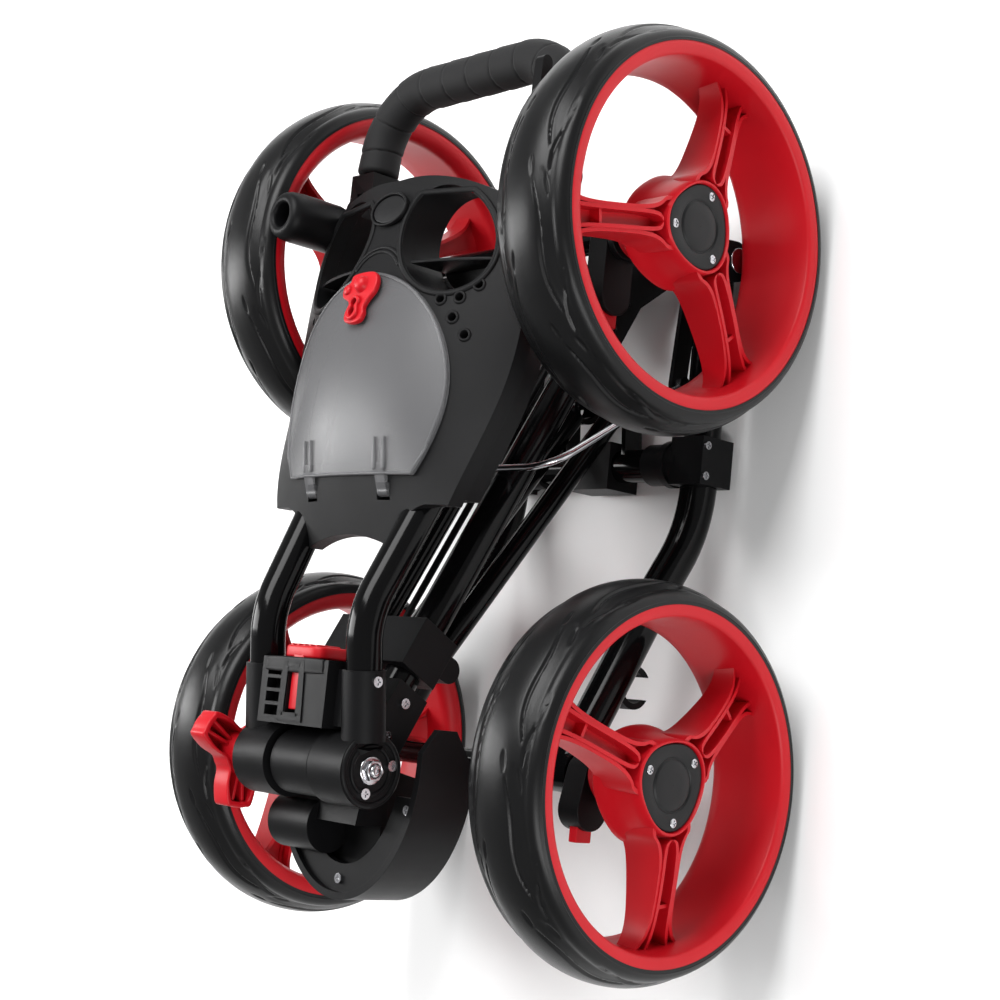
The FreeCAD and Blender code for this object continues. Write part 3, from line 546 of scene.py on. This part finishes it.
def make_rim(name, side, first_spoke):
    """The rim: a barrel, a three-cornered hub and three hollow spokes between them."""
    centre, radius, half, middle = wheel_measures(name)
    face = half / MM                                  # the wheel's outer face, in millimetres
    first = radians(first_spoke)
    lip, barrel = 0.888 * radius, 0.817 * radius
    vertices, faces = [], []

    def add(points, new_faces):
        offset = len(vertices)
        vertices.extend(points)
        faces.extend(tuple(offset + k for k in face) for face in new_faces)

    # barrel with its two lips
    outer_lip = [(half - 0.8 * MM, lip), (half - 0.2 * MM, lip - 0.8 * MM), (half, lip - 2.5 * MM),
                 (half - 0.6 * MM, barrel + 2.6 * MM), (half - 1.4 * MM, barrel + 0.8 * MM),
                 (half - 3.0 * MM, barrel)]
    bowl = [(half * 0.5, barrel - 1.0 * MM), (0, barrel - 2.2 * MM), (-half * 0.6, barrel - 3.4 * MM),
            (-half + 8 * MM, barrel - 4.0 * MM)]
    inner_lip = [(-half + 4 * MM, barrel - 1.5 * MM), (-half + 1.2 * MM, barrel + 2.0 * MM),
                 (-half + 0.2 * MM, lip - 2 * MM), (-half + 0.8 * MM, lip)]
    inside, floor = half - 3.2 * MM, barrel + 2.0 * MM
    channel = [(-inside, lip), (-inside, floor), (inside, floor), (inside, lip)]
    profile = outer_lip + bowl + inner_lip + channel
    steps = 160
    add(turned_vertices(profile, steps, centre, side, middle), grid_faces(steps, len(profile), True, True))

    # hub: three-cornered and deep, with a cup for the cap and a flange behind
    def corner(angle):
        return 1 + HUB_CORNER * cos(3 * (angle - first))

    hub = [(face - 6.8, 0.5), (face - 6.8, 28.6), (face - 2.6, 28.8), (face - 1.8, 29.3), (face - 1.8, 30.1),
           (face - 2.6, 30.9), (face - 12, 31.8), (face - 22, 33.4), (face - 29, 35.6), (face - 32, 38.0),
           (face - 36, 38.8), (face - 37, 38.0), (face - 37, 22), (4 - face, 18), (2 - face, 16.5),
           (2 - face, 6.4), (face - 12, 6.4), (face - 12, 0.5)]
    hub = [(x * MM, r * MM) for x, r in hub]
    steps = 96
    add(turned_vertices(hub, steps, centre, side, middle, corner), grid_faces(steps, len(hub), True, True))

    # spokes: two deep walls that pinch in and flare out at both ends, with a hairpin of ribs between
    start, end = 30, barrel / MM + 0.6                # where the spoke leaves the hub and meets the barrel

    def wall(distance):
        """Half the width between the walls at a distance from the axle, in millimetres."""
        return 6.6 + 8.4 * exp(min(31 - distance, 0) / 7.5) + 15 * exp((distance - end) / 9.0)

    def hairpin(distance):
        """The same between the two ribs, which close towards the hub."""
        return 4.6 * sqrt(1 - exp(min(35 - distance, 0) / 5)) + 5.5 * exp((distance - end) / 9)

    def front(distance):
        return face - 3.0 - 17 * (max(distance - start, 0) / (end - start)) ** 1.5

    def back(distance):
        return face - 35 - 2 * (distance - start) / (end - start)

    def spoke_point(across, distance, x, angle):
        y = distance * cos(angle) - across * sin(angle)
        z = distance * sin(angle) + across * cos(angle)
        return (middle + side * x * MM, centre[0] + y * MM, centre[1] + z * MM)

    def strip(stations, angle):
        """A closed strip through stations of (distance, across low, across high, x front, x back)."""
        points = []
        for distance, a, b, x_front, x_back in stations:
            points += [spoke_point(a, distance, x_front, angle), spoke_point(b, distance, x_front, angle),
                       spoke_point(b, distance, x_back, angle), spoke_point(a, distance, x_back, angle)]
        strip_faces = grid_faces(len(stations), 4, False, True)
        last = 4 * (len(stations) - 1)
        add(points, strip_faces + [(0, 1, 2, 3), (last + 3, last + 2, last + 1, last)])

    def run(near, count, section):
        """Stations from near the hub to the barrel's inside; section(distance) gives the rest of each."""
        stations = []
        for j in range(count):
            distance = near + (end - near) * j / (count - 1)
            low_side, high_side, x_front, x_back = section(distance)
            reach = max(abs(low_side), abs(high_side))
            distance = min(distance, sqrt(end * end - reach * reach))
            stations.append((distance, low_side, high_side, x_front, x_back))
        return stations

    spoke = []
    for sign in (-1, 1):
        spoke.append(run(24, 35, lambda d: (sign * wall(d), sign * (wall(d) + 2.8), front(d) - 0.8, back(d))))
        spoke.append(run(35, 37, lambda d: (sign * hairpin(d), sign * (hairpin(d) + 2.6),
                                            front(d), front(d) - 15)))
    spoke.append(run(start, 15, lambda d: (-wall(d) - 0.5, wall(d) + 0.5, front(d) - 11, front(d) - 14)))
    web = end * 0.73
    across = hairpin(web) + 0.5
    spoke.append([(web + shift, -across, across, front(web) - 2.5, front(web) - 12) for shift in (-1.2, 1.2)])
    for turn in turns(3):
        for stations in spoke:
            strip(stations, first + turn)
    piece = make_mesh(name + "_spoked_rim", vertices, faces)
    bevel(piece, 0.7, 40)
    place_piece(piece, name + "_rim")


def make_hub_cap(name, side, first_spoke):
    """The cap with its ring round a plain middle, and its three screws in line with the spokes."""
    node = name + "_hub_cap"
    low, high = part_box(node)
    centre = ((low.y + high.y) / 2, (low.z + high.z) / 2)
    face = high.x if side > 0 else low.x
    first = radians(first_spoke)
    profile = [(-4.5, 0.3), (-4.5, 28.3), (-1.2, 28.4), (-0.4, 28.0), (-0.1, 27.2), (0, 26), (0, 18.8),
               (-0.2, 18.2), (-0.9, 17.8), (-1.0, 17.3), (-0.8, 16.7), (0.0, 16.1), (0.25, 15.4), (0.5, 8),
               (0.6, 0.3)]
    steps = 96
    points = []
    for angle in turns(steps):
        for x, r in profile:
            grown = r * (1 + HUB_CORNER * cos(3 * (angle - first)) * smooth_step(18, 26, r)) * MM
            points.append(on_wheel(face + side * x * MM, grown, angle, centre))
    piece = make_mesh(name + "_ringed_cap", points, grid_faces(steps, len(profile), True, True))
    piece.data.set_sharp_from_angle(angle=radians(60))
    place_piece(piece, node)

    screws = []
    for turn in turns(3):
        angle = first + turn
        spot = on_wheel(face, SCREW_CIRCLE * MM, angle, centre)
        screws.append(cross_screw(frame_at(spot, (side, 0, 0), (0, cos(angle), sin(angle))), 3.1, 1.1))
    place_piece(join(name + "_cross_screws", screws), name + "_cap_screws")


# ---- Grip -------------------------------------------------------------------------------
def rounded_path(points, bend, spacing):
    """Points along straight runs that are joined by arcs, about spacing apart."""
    out = [points[0]]
    for before, corner, after in zip(points, points[1:], points[2:]):
        u, v = (before - corner).normalized(), (after - corner).normalized()
        half = u.angle(v) / 2
        reach = bend / (sin(half) / cos(half))
        centre = corner + (u + v).normalized() * (bend / sin(half))
        start, finish = corner + u * reach - centre, corner + v * reach - centre
        sweep = start.angle(finish)
        count = max(int(bend * sweep / spacing), 4)
        for k in range(count + 1):
            t = k / count
            out.append(centre + (start * sin((1 - t) * sweep) + finish * sin(t * sweep)) / sin(sweep))
    out.append(points[-1])
    dense = []
    for a, b in zip(out, out[1:]):
        pieces = max(int((b - a).length / spacing), 1)
        dense += [a.lerp(b, k / pieces) for k in range(pieces)]
    return dense + [out[-1]]


def sleeve(name, path, radius_at):
    """A closed tube along a path; radius_at(distance, angle) gives its radius."""
    vertices, distance, around = [], 0.0, 48
    for k, point in enumerate(path):
        ahead = (path[min(k + 1, len(path) - 1)] - path[max(k - 1, 0)]).normalized()
        across = ahead.cross(Vector((0, 0, 1))).normalized()
        up = across.cross(ahead)
        if k:
            distance += (point - path[k - 1]).length
        for angle in turns(around):
            vertices.append(point + (across * cos(angle) + up * sin(angle)) * radius_at(distance, angle))
    faces = grid_faces(len(path), around, False, True)
    faces += [tuple(range(around)), tuple(len(vertices) - around + j for j in reversed(range(around)))]
    return make_mesh(name, vertices, faces)


def make_foam_grip():
    """The foam sleeve on the bent grip tube, wound from a strip whose edges overlap."""
    foam, half, start, bend, seam = 15.9 * MM, 100 * MM, 240.5 * MM, 48 * MM, 25.5 * MM
    hub_y, hub_z = 226 * MM, 193.6 * MM               # where the tube leaves its hubs
    far, far_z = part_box("foam_grip")[1].y - 16 * MM, 186 * MM
    start_z = hub_z + (far_z - hub_z) / (far - hub_y) * (start - hub_y)
    corners = [Vector((-half, start, start_z)), Vector((-half, far, far_z)), Vector((half, far, far_z)),
               Vector((half, start, start_z))]
    path = rounded_path(corners, bend, 0.9 * MM)
    length = sum((b - a).length for a, b in zip(path, path[1:]))

    def radius_at(distance, angle):
        lean = 2.4 * MM * sin(angle)
        phase = (distance + lean + 7 * MM) % seam
        gap = min(phase, seam - phase) / MM
        groove = 0.95 * exp(-(gap / 0.9) ** 2)
        step = 0.55 * (phase / seam)
        ends = min(distance, length - distance) / MM
        rounding = 2.0 * max(0.0, 1 - ends / 3.0) ** 2
        return foam - (groove + step + rounding) * MM

    piece = sleeve("wrapped_foam_grip", path, radius_at)
    piece.data.set_sharp_from_angle(angle=radians(60))
    place_piece(piece, "foam_grip")


# ---- Fittings ---------------------------------------------------------------------------
PIVOT_Y, PIVOT_Z = -0.198, 0.268         # the handle's pivot, which runs along X
KNOB_X = -0.097                          # the knob's seat on that line
KNOB_LOBES = (60, 180, 300)              # where its lobes point, in degrees
LATCH_POINT, LATCH_NORMAL = Vector((0, 0.122, 0.26901)), Vector((0, 0.18665, 0.98243))
TEE_HOLES = ((66, 116), (79, 117), (90, 126), (77, 103), (87, 91))    # x and y in millimetres
SHELF_Y = 145                            # millimetres
LOCK_TOP = 0.2918                        # height of the lock housing's top


def at_pivot(x, z_axis, y_hint):
    """A matrix on the handle's pivot line at x, in metres."""
    return frame_at(Vector((x, PIVOT_Y, PIVOT_Z)), z_axis, y_hint)


def make_knob():
    """The three-lobed tightening knob: a rimmed star with a dished, ribbed face round its boss."""
    matrix = at_pivot(KNOB_X, (1, 0, 0), (0, 0, 1))

    def star(tip, half, waist):
        """An outline in millimetres: the lobes' tip radius, their half angle, the radius between them."""
        corners = ((-half, tip), (-half * 0.5, tip + 0.7), (0, tip + 1), (half * 0.5, tip + 0.7), (half, tip),
                   (half + 12, tip * 0.72), (42, waist + 1.2), (60, waist), (78, waist + 1.2),
                   (108 - half, tip * 0.72))
        out = []
        for lobe in KNOB_LOBES:
            for turn, r in corners:
                out.append((r * cos(radians(lobe + turn)), r * sin(radians(lobe + turn))))
        return smooth_loop(out, 6)

    rim = moulded_plate("knob_rim", [star(37.5, 15.5, 16.5), star(33.5, 12.5, 13.2)], 17.0, 1.2, matrix)
    back = moulded_plate("knob_back", [star(37.0, 15.2, 16.0)], 4.5, 1.0, matrix)
    profile = [(3, 0.1), (27, 0.1), (27.4, 3), (27.4, 8.6), (26.4, 10.6), (24.0, 11.6), (17, 12.6),
               (12, 14.6), (3, 15.4)]
    boss = turned_piece("knob_boss", profile, matrix)
    blade = rectangle(12, -1.1, 35.2, 1.1)
    ribs = []
    for lobe in KNOB_LOBES:
        for lean in (-7, 7):
            turned = matrix @ Matrix.Rotation(radians(lobe + lean), 4, "Z")
            ribs.append(moulded_plate("knob_rib", [blade], 14.0, 0.5, turned))
    place_piece(join("lobed_knob", [rim, back, boss] + ribs), "tension_knob")


def make_latch():
    """The lid's latch: an eared plate with a thumb stud and a keyhole in its tongue."""
    matrix = frame_at(LATCH_POINT + LATCH_NORMAL * 1.2 * MM, LATCH_NORMAL, (0, 1, 0))
    outer = [(0, -23), (-8, -21), (-10, -15), (-8, -9.5), (-10, -6), (-17, -2), (-18, 5.5), (-12.5, 8.5),
             (-10.5, 13.5), (0, 15), (12, 14), (17, 8), (16.5, 0), (11.5, -6), (9, -11), (10.5, -16),
             (8, -21.5)]
    keyhole = [(0, -18.5), (-2.9, -15), (-1.6, -11), (-3.0, -7.5), (0, -5), (3.0, -7.5), (1.6, -11),
               (2.9, -15)]
    rim = [(0, -21), (-6, -17), (-4.6, -10), (-5.6, -6), (0, -2.6), (5.6, -6), (4.6, -10), (6, -17)]
    outer, keyhole, rim = (smooth_loop(points, 6) for points in (outer, keyhole, rim))
    plate = moulded_plate("latch_plate", [outer, keyhole], 4.2, 1.1, matrix)
    lip = moulded_plate("latch_lip", [rim, keyhole], 6.6, 0.9, matrix)
    stud_profile = [(-3, 0.1), (9.2, 0.1), (9.0, 2.5), (8.0, 4.4), (6.2, 5.6), (4.4, 6.0), (3.4, 7.2),
                    (-3, 2.9)]
    ear_profile = [(0, 0.1), (6.4, 0.1), (6.0, 2.6), (5.0, 3.6), (0, 3.8)]
    pin_profile = [(-3.5, 0.1), (1, 0.1), (1, 2.9), (-3.5, 2.9)]
    stud_place = matrix @ Matrix.Translation(Vector((2, 5.5, 0)) * MM)
    ear_place = matrix @ Matrix.Translation(Vector((-12.5, 2.6, 0)) * MM)
    stud = turned_piece("latch_stud", stud_profile, stud_place)
    ear = turned_piece("latch_ear", ear_profile, ear_place, 32)
    pin = turned_piece("latch_pin", pin_profile, matrix, 32)
    place_piece(join("keyhole_latch", [plate, lip, stud, ear, pin]), "lid_latch")


def make_badge():
    """A plain oval badge in a thin raised frame on the spine between the two openings."""
    point, normal = seen_from_above(CONSOLE_TOP, 0, 186)
    matrix = frame_at(point - normal * 0.6 * MM, normal, (0, 1, 0))
    plate = moulded_plate("badge_plate", [oval((0, 0), 16.6, 10.2)], 2.2, 0.8, matrix)
    ring = [oval((0, 0), 19.2, 12.6), oval((0, 0), 17.2, 10.8)]
    add_piece(plate, "handle", "cap_plastic")
    add_piece(moulded_plate("badge_frame", ring, 3.2, 0.8, matrix), "handle", "console_plastic")


def make_tee_collars():
    """A collar round each tee hole; the surface is read just beside the hole."""
    profile = [(0, 2.75), (1.5, 2.75), (1.9, 3.2), (1.9, 4.0), (1.4, 4.7), (0, 5.0)]
    beside = 3.4
    back = Matrix.Translation((-beside * MM, 0, 0))
    collars = []
    for x, y in TEE_HOLES:
        point, normal = seen_from_above(CONSOLE_TOP, x + beside, y)
        matrix = frame_at(point - normal * 0.8 * MM, normal, (0, 1, 0)) @ back
        collars.append(turned_piece("collar", profile, matrix, 40))
    add_piece(join("tee_hole_collars", collars), "handle", "console_plastic")


def make_accessory_socket():
    """The domed socket beside the console, with its bore."""
    low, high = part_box("accessory_socket")
    base = Vector(((low.x + high.x) / 2, (low.y + high.y) / 2, low.z))
    tall = (high.z - low.z) / MM
    foot = [(1.5, 9.0), (0, 12), (0, 15), (1.5, 17.4), (6, 18.5)]
    dome = [(-14, 18.5), (-7, 18.0), (-2.5, 16.6), (-0.6, 14.2), (0, 12.2), (-0.3, 10.4), (-1.6, 9.2),
            (-3, 9.05)]
    bore = [(14, 9.05), (14, 0.1), (1.5, 0.1)]
    profile = foot + [(tall + h, r) for h, r in dome] + bore
    place_piece(turned_piece("domed_socket", profile, Matrix.Translation(base)), "accessory_socket")


def make_lid_bead():
    """The lid's edge stands up as a narrow bead, which catches the light."""
    half = [(66, -4), (77, 16), (84, 45), (82, 70), (72, 95), (56, 115), (34, 130), (0, 138.5)]
    arch = [(-x, y) for x, y in half[:-1]] + half[::-1]
    steps, foot_steps, inset, centre_y = 8, 12, 0.985, 60
    foot = [Vector((66 - 132 * k / foot_steps, -4)) for k in range(foot_steps)]
    loop = smooth_loop(arch, steps)[:-steps] + foot
    loop = [Vector((u * inset, centre_y + (v - centre_y) * inset)) for u, v in loop]
    add_piece(bead("lid_bead", loop, LID_TOP, 1.1, 0.9, lift=0.1), "lid", "window_plastic")


def opening_outline(side, inset):
    """The leaning oval of one of the two openings, in millimetres, drawn in by inset."""
    return oval((side * 57, 161), 45.6 - inset, 35.6 - inset, 96, -47 if side > 0 else -133)


def make_opening_rims():
    """Raised rims round the two openings under the handle's head."""
    rims = []
    for side in (-1, 1):
        loop = [place for place in opening_outline(side, 0) if 9 < abs(place.x) < 104 and place.y < 196]
        rims.append(bead("rim", loop, CONSOLE_TOP, 2.2, 1.5))
    add_piece(join("opening_rims", rims), "handle", "console_plastic")


def make_opening_shelves():
    """A shelf across each opening, with the dark floor of the pocket behind it."""
    shelves = []
    for side in (-1, 1):
        inside = opening_outline(side, 3)
        across = [place.x for place in inside if place.y < SHELF_Y]
        left, right = min(across), max(across)
        spine, outer = 10.0, max(-left, right) + 2.5
        middle, edge = (seen_from_above(CONSOLE_TOP, side * x, SHELF_Y)[0].z / MM for x in (spine, outer))
        fall = (middle - edge) / (outer ** 2 - spine ** 2)
        crest = []
        for k in range(13):
            x = left + 1 + (right - left - 2) * k / 12
            crest.append((-x, middle - fall * (x * x - spine * spine) - 3.0))
        top = max(z for x, z in crest)
        board = crest + [(crest[-1][0], top - 36), (crest[0][0], top - 36)]
        upright = frame_at(Vector((0, (SHELF_Y + 1.5) * MM, 0)), (0, -1, 0), (0, 0, 1))
        shelves.append(moulded_plate("shelf", [board], 2.4, 0.6, upright))
        floor = [place for place in inside if place.y < SHELF_Y + 2]
        flat = Matrix.Translation((0, 0, (top - 35) * MM))
        shelves.append(moulded_plate("floor", [floor], 2.4, 0.6, flat))
    add_piece(join("opening_shelves", shelves), "handle", "black_plastic")


def make_lid_ribs():
    """Pairs of tapered ribs that stiffen the lid above its two hinge hooks."""
    drop = smooth_loop([(-1.5, -9), (1.5, -9), (1.3, 2), (0.7, 9), (0, 12), (-0.7, 9), (-1.3, 2)], 5)
    ribs = []
    for x in (-39 - 4.2, -39 + 4.2, 39 - 4.2, 39 + 4.2):
        point, normal = seen_from_above(LID_TOP, x, 9.5)
        matrix = frame_at(point - normal * 0.5 * MM, normal, (0, 1, 0))
        ribs.append(moulded_plate("rib", [drop], 2.6, 0.9, matrix))
    add_piece(join("lid_ribs", ribs), "lid", "window_plastic")


def make_latch_dish():
    """The raised edge of the thumb recess behind the latch."""
    outer = [(28 * cos(radians(a)), 133 + 25 * sin(radians(a))) for a in range(28, 153, 4)]
    inner = [(25 * cos(radians(a)), 133 + 22 * sin(radians(a))) for a in range(152, 27, -4)]
    add_piece(bead("latch_dish", outer + inner, CONSOLE_TOP, 1.4, 1.1), "handle", "console_plastic")


def make_lock_frame():
    """The frame round the lock's slot and the brow over its button."""
    outer = [(-11, -19), (11, -19), (12.5, -17), (10.5, 19), (9, 21), (-9, 21), (-10.5, 19), (-12.5, -17)]
    inner = [(-7, -15), (7, -15), (7.6, -14), (6.8, 16), (6.2, 17), (-6.2, 17), (-6.8, 16), (-7.6, -14)]
    cover = [(-31, -3), (-27, -5), (27, -5), (31, -3), (31, 3), (27, 5), (-27, 5), (-31, 3)]
    loops = [smooth_loop(outer, 6), smooth_loop(inner, 6)]
    slot_place = Matrix.Translation((0, -0.152, LOCK_TOP))
    brow_place = Matrix.Translation((0, -0.1345, LOCK_TOP))
    surround = moulded_plate("slot_frame", loops, 2.2, 0.8, slot_place)
    brow = moulded_plate("brow", [smooth_loop(cover, 4)], 2.0, 0.8, brow_place)
    add_piece(join("lock_surround", [surround, brow]), "handle", "black_plastic")


def make_lock_button():
    """The ribbed red button of the lock, on its tongue."""
    face = frame_at(Vector((0, -0.1294, 0.2775)), (0, 1, 0), (0, 0, 1))
    outline = [(-20, -11), (-17.5, -13.2), (17.5, -13.2), (20, -11), (20, 6), (16.5, 11.2), (9, 13.2),
               (-9, 13.2), (-16.5, 11.2), (-20, 6)]
    button = [moulded_plate("button", [smooth_loop(outline, 6)], 8.2, 1.6, face)]
    for k in range(5):
        left = -13.8 + 6.6 * k
        button.append(moulded_plate("ridge", [rectangle(left, -10, left + 2.2, 9.6)], 9.4, 0.7, face))
    tongue = rectangle(-5.6, -164, 5.6, -126)
    button.append(moulded_plate("tongue", [tongue], 6.4, 0.9, Matrix.Translation((0, 0, 0.2845))))
    place_piece(join("ribbed_lock_button", button), "lock_slider")


def make_drum_rings():
    """Two raised rings on each end of the drum."""
    ring = [(-1, 14.4), (0.7, 14.4), (1.3, 15.0), (1.3, 16.6), (0.6, 17.2), (-1, 17.3)]
    lip = [(-1, 20.6), (0.8, 20.6), (1.4, 21.2), (1.4, 23.2), (0.6, 24.3), (-1, 24.6)]
    rings = []
    for side in (-1, 1):
        end = at_pivot(side * 0.0600, (side, 0, 0), (0, 0, 1))
        rings += [turned_piece("ring", ring, end), turned_piece("lip", lip, end)]
    add_piece(join("drum_rings", rings), "handle", "black_plastic")


def make_pivot_bolt():
    """The handle's pivot bolt with its chamfered nut and domed end."""
    node = "pivot_bolt"
    low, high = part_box(node)
    start, end = low.x / MM, high.x / MM
    shaft = [(start, 0.1), (start, 3.8), (60.4, 3.8), (60.4, 4.2), (end - 1.2, 4.2), (end - 0.2, 3.2),
             (end, 1.6), (end - 0.9, 1.3), (end - 0.9, 0.1)]
    bolt = turned_piece("bolt", shaft, at_pivot(0, (1, 0, 0), (0, 1, 0)), 48)
    seat = at_pivot(0.0602, (1, 0, 0), (0, 1, 0))
    hexagon = [(7.4 * cos(angle), 7.4 * sin(angle)) for angle in turns(6)]
    nut = moulded_plate("nut", [hexagon, oval((0, 0), 4.7, 4.7, 32)], end - 61.4, 0.9, seat)
    washer = [(0, 4.3), (0, 8.9), (0.5, 9.3), (1.0, 9.0), (1.2, 8.2), (1.2, 4.3)]
    place_piece(join("domed_pivot_bolt", [bolt, nut, turned_piece("washer", washer, seat, 48)]), node)


# ---- Assembly ---------------------------------------------------------------------------
REPLACED = ("_tyre", "_rim", "_hub_cap", "_cap_screws", "foam_grip", "tension_knob", "lid_latch",
            "accessory_socket", "lock_slider", "pivot_bolt")      # nodes that have a mesh of their own
EDGE, FINE_EDGE = 0.8, 0.3               # how far the other nodes' edges are rounded, in millimetres
MATERIALS = {name: material(name, **look) for name, look in LOOKS.items()}
CONSOLE_TOP = surface_tree("console_shell")
LID_TOP = surface_tree("lid_window")
make_camera()
make_studio()
for wheel, (side, first_spoke) in WHEELS.items():
    make_tyre(wheel, side)
    make_rim(wheel, side, first_spoke)
    make_hub_cap(wheel, side, first_spoke)
make_foam_grip()
make_knob()
make_latch()
make_badge()
make_tee_collars()
make_accessory_socket()
make_lid_bead()
make_opening_rims()
make_opening_shelves()
make_lid_ribs()
make_latch_dish()
make_lock_frame()
make_lock_button()
make_drum_rings()
make_pivot_bolt()
for node in sorted(frame["nodes"]):
    if not node.endswith(REPLACED):
        dress(node, FINE_EDGE if "screws" in node or "cable" in node else EDGE)
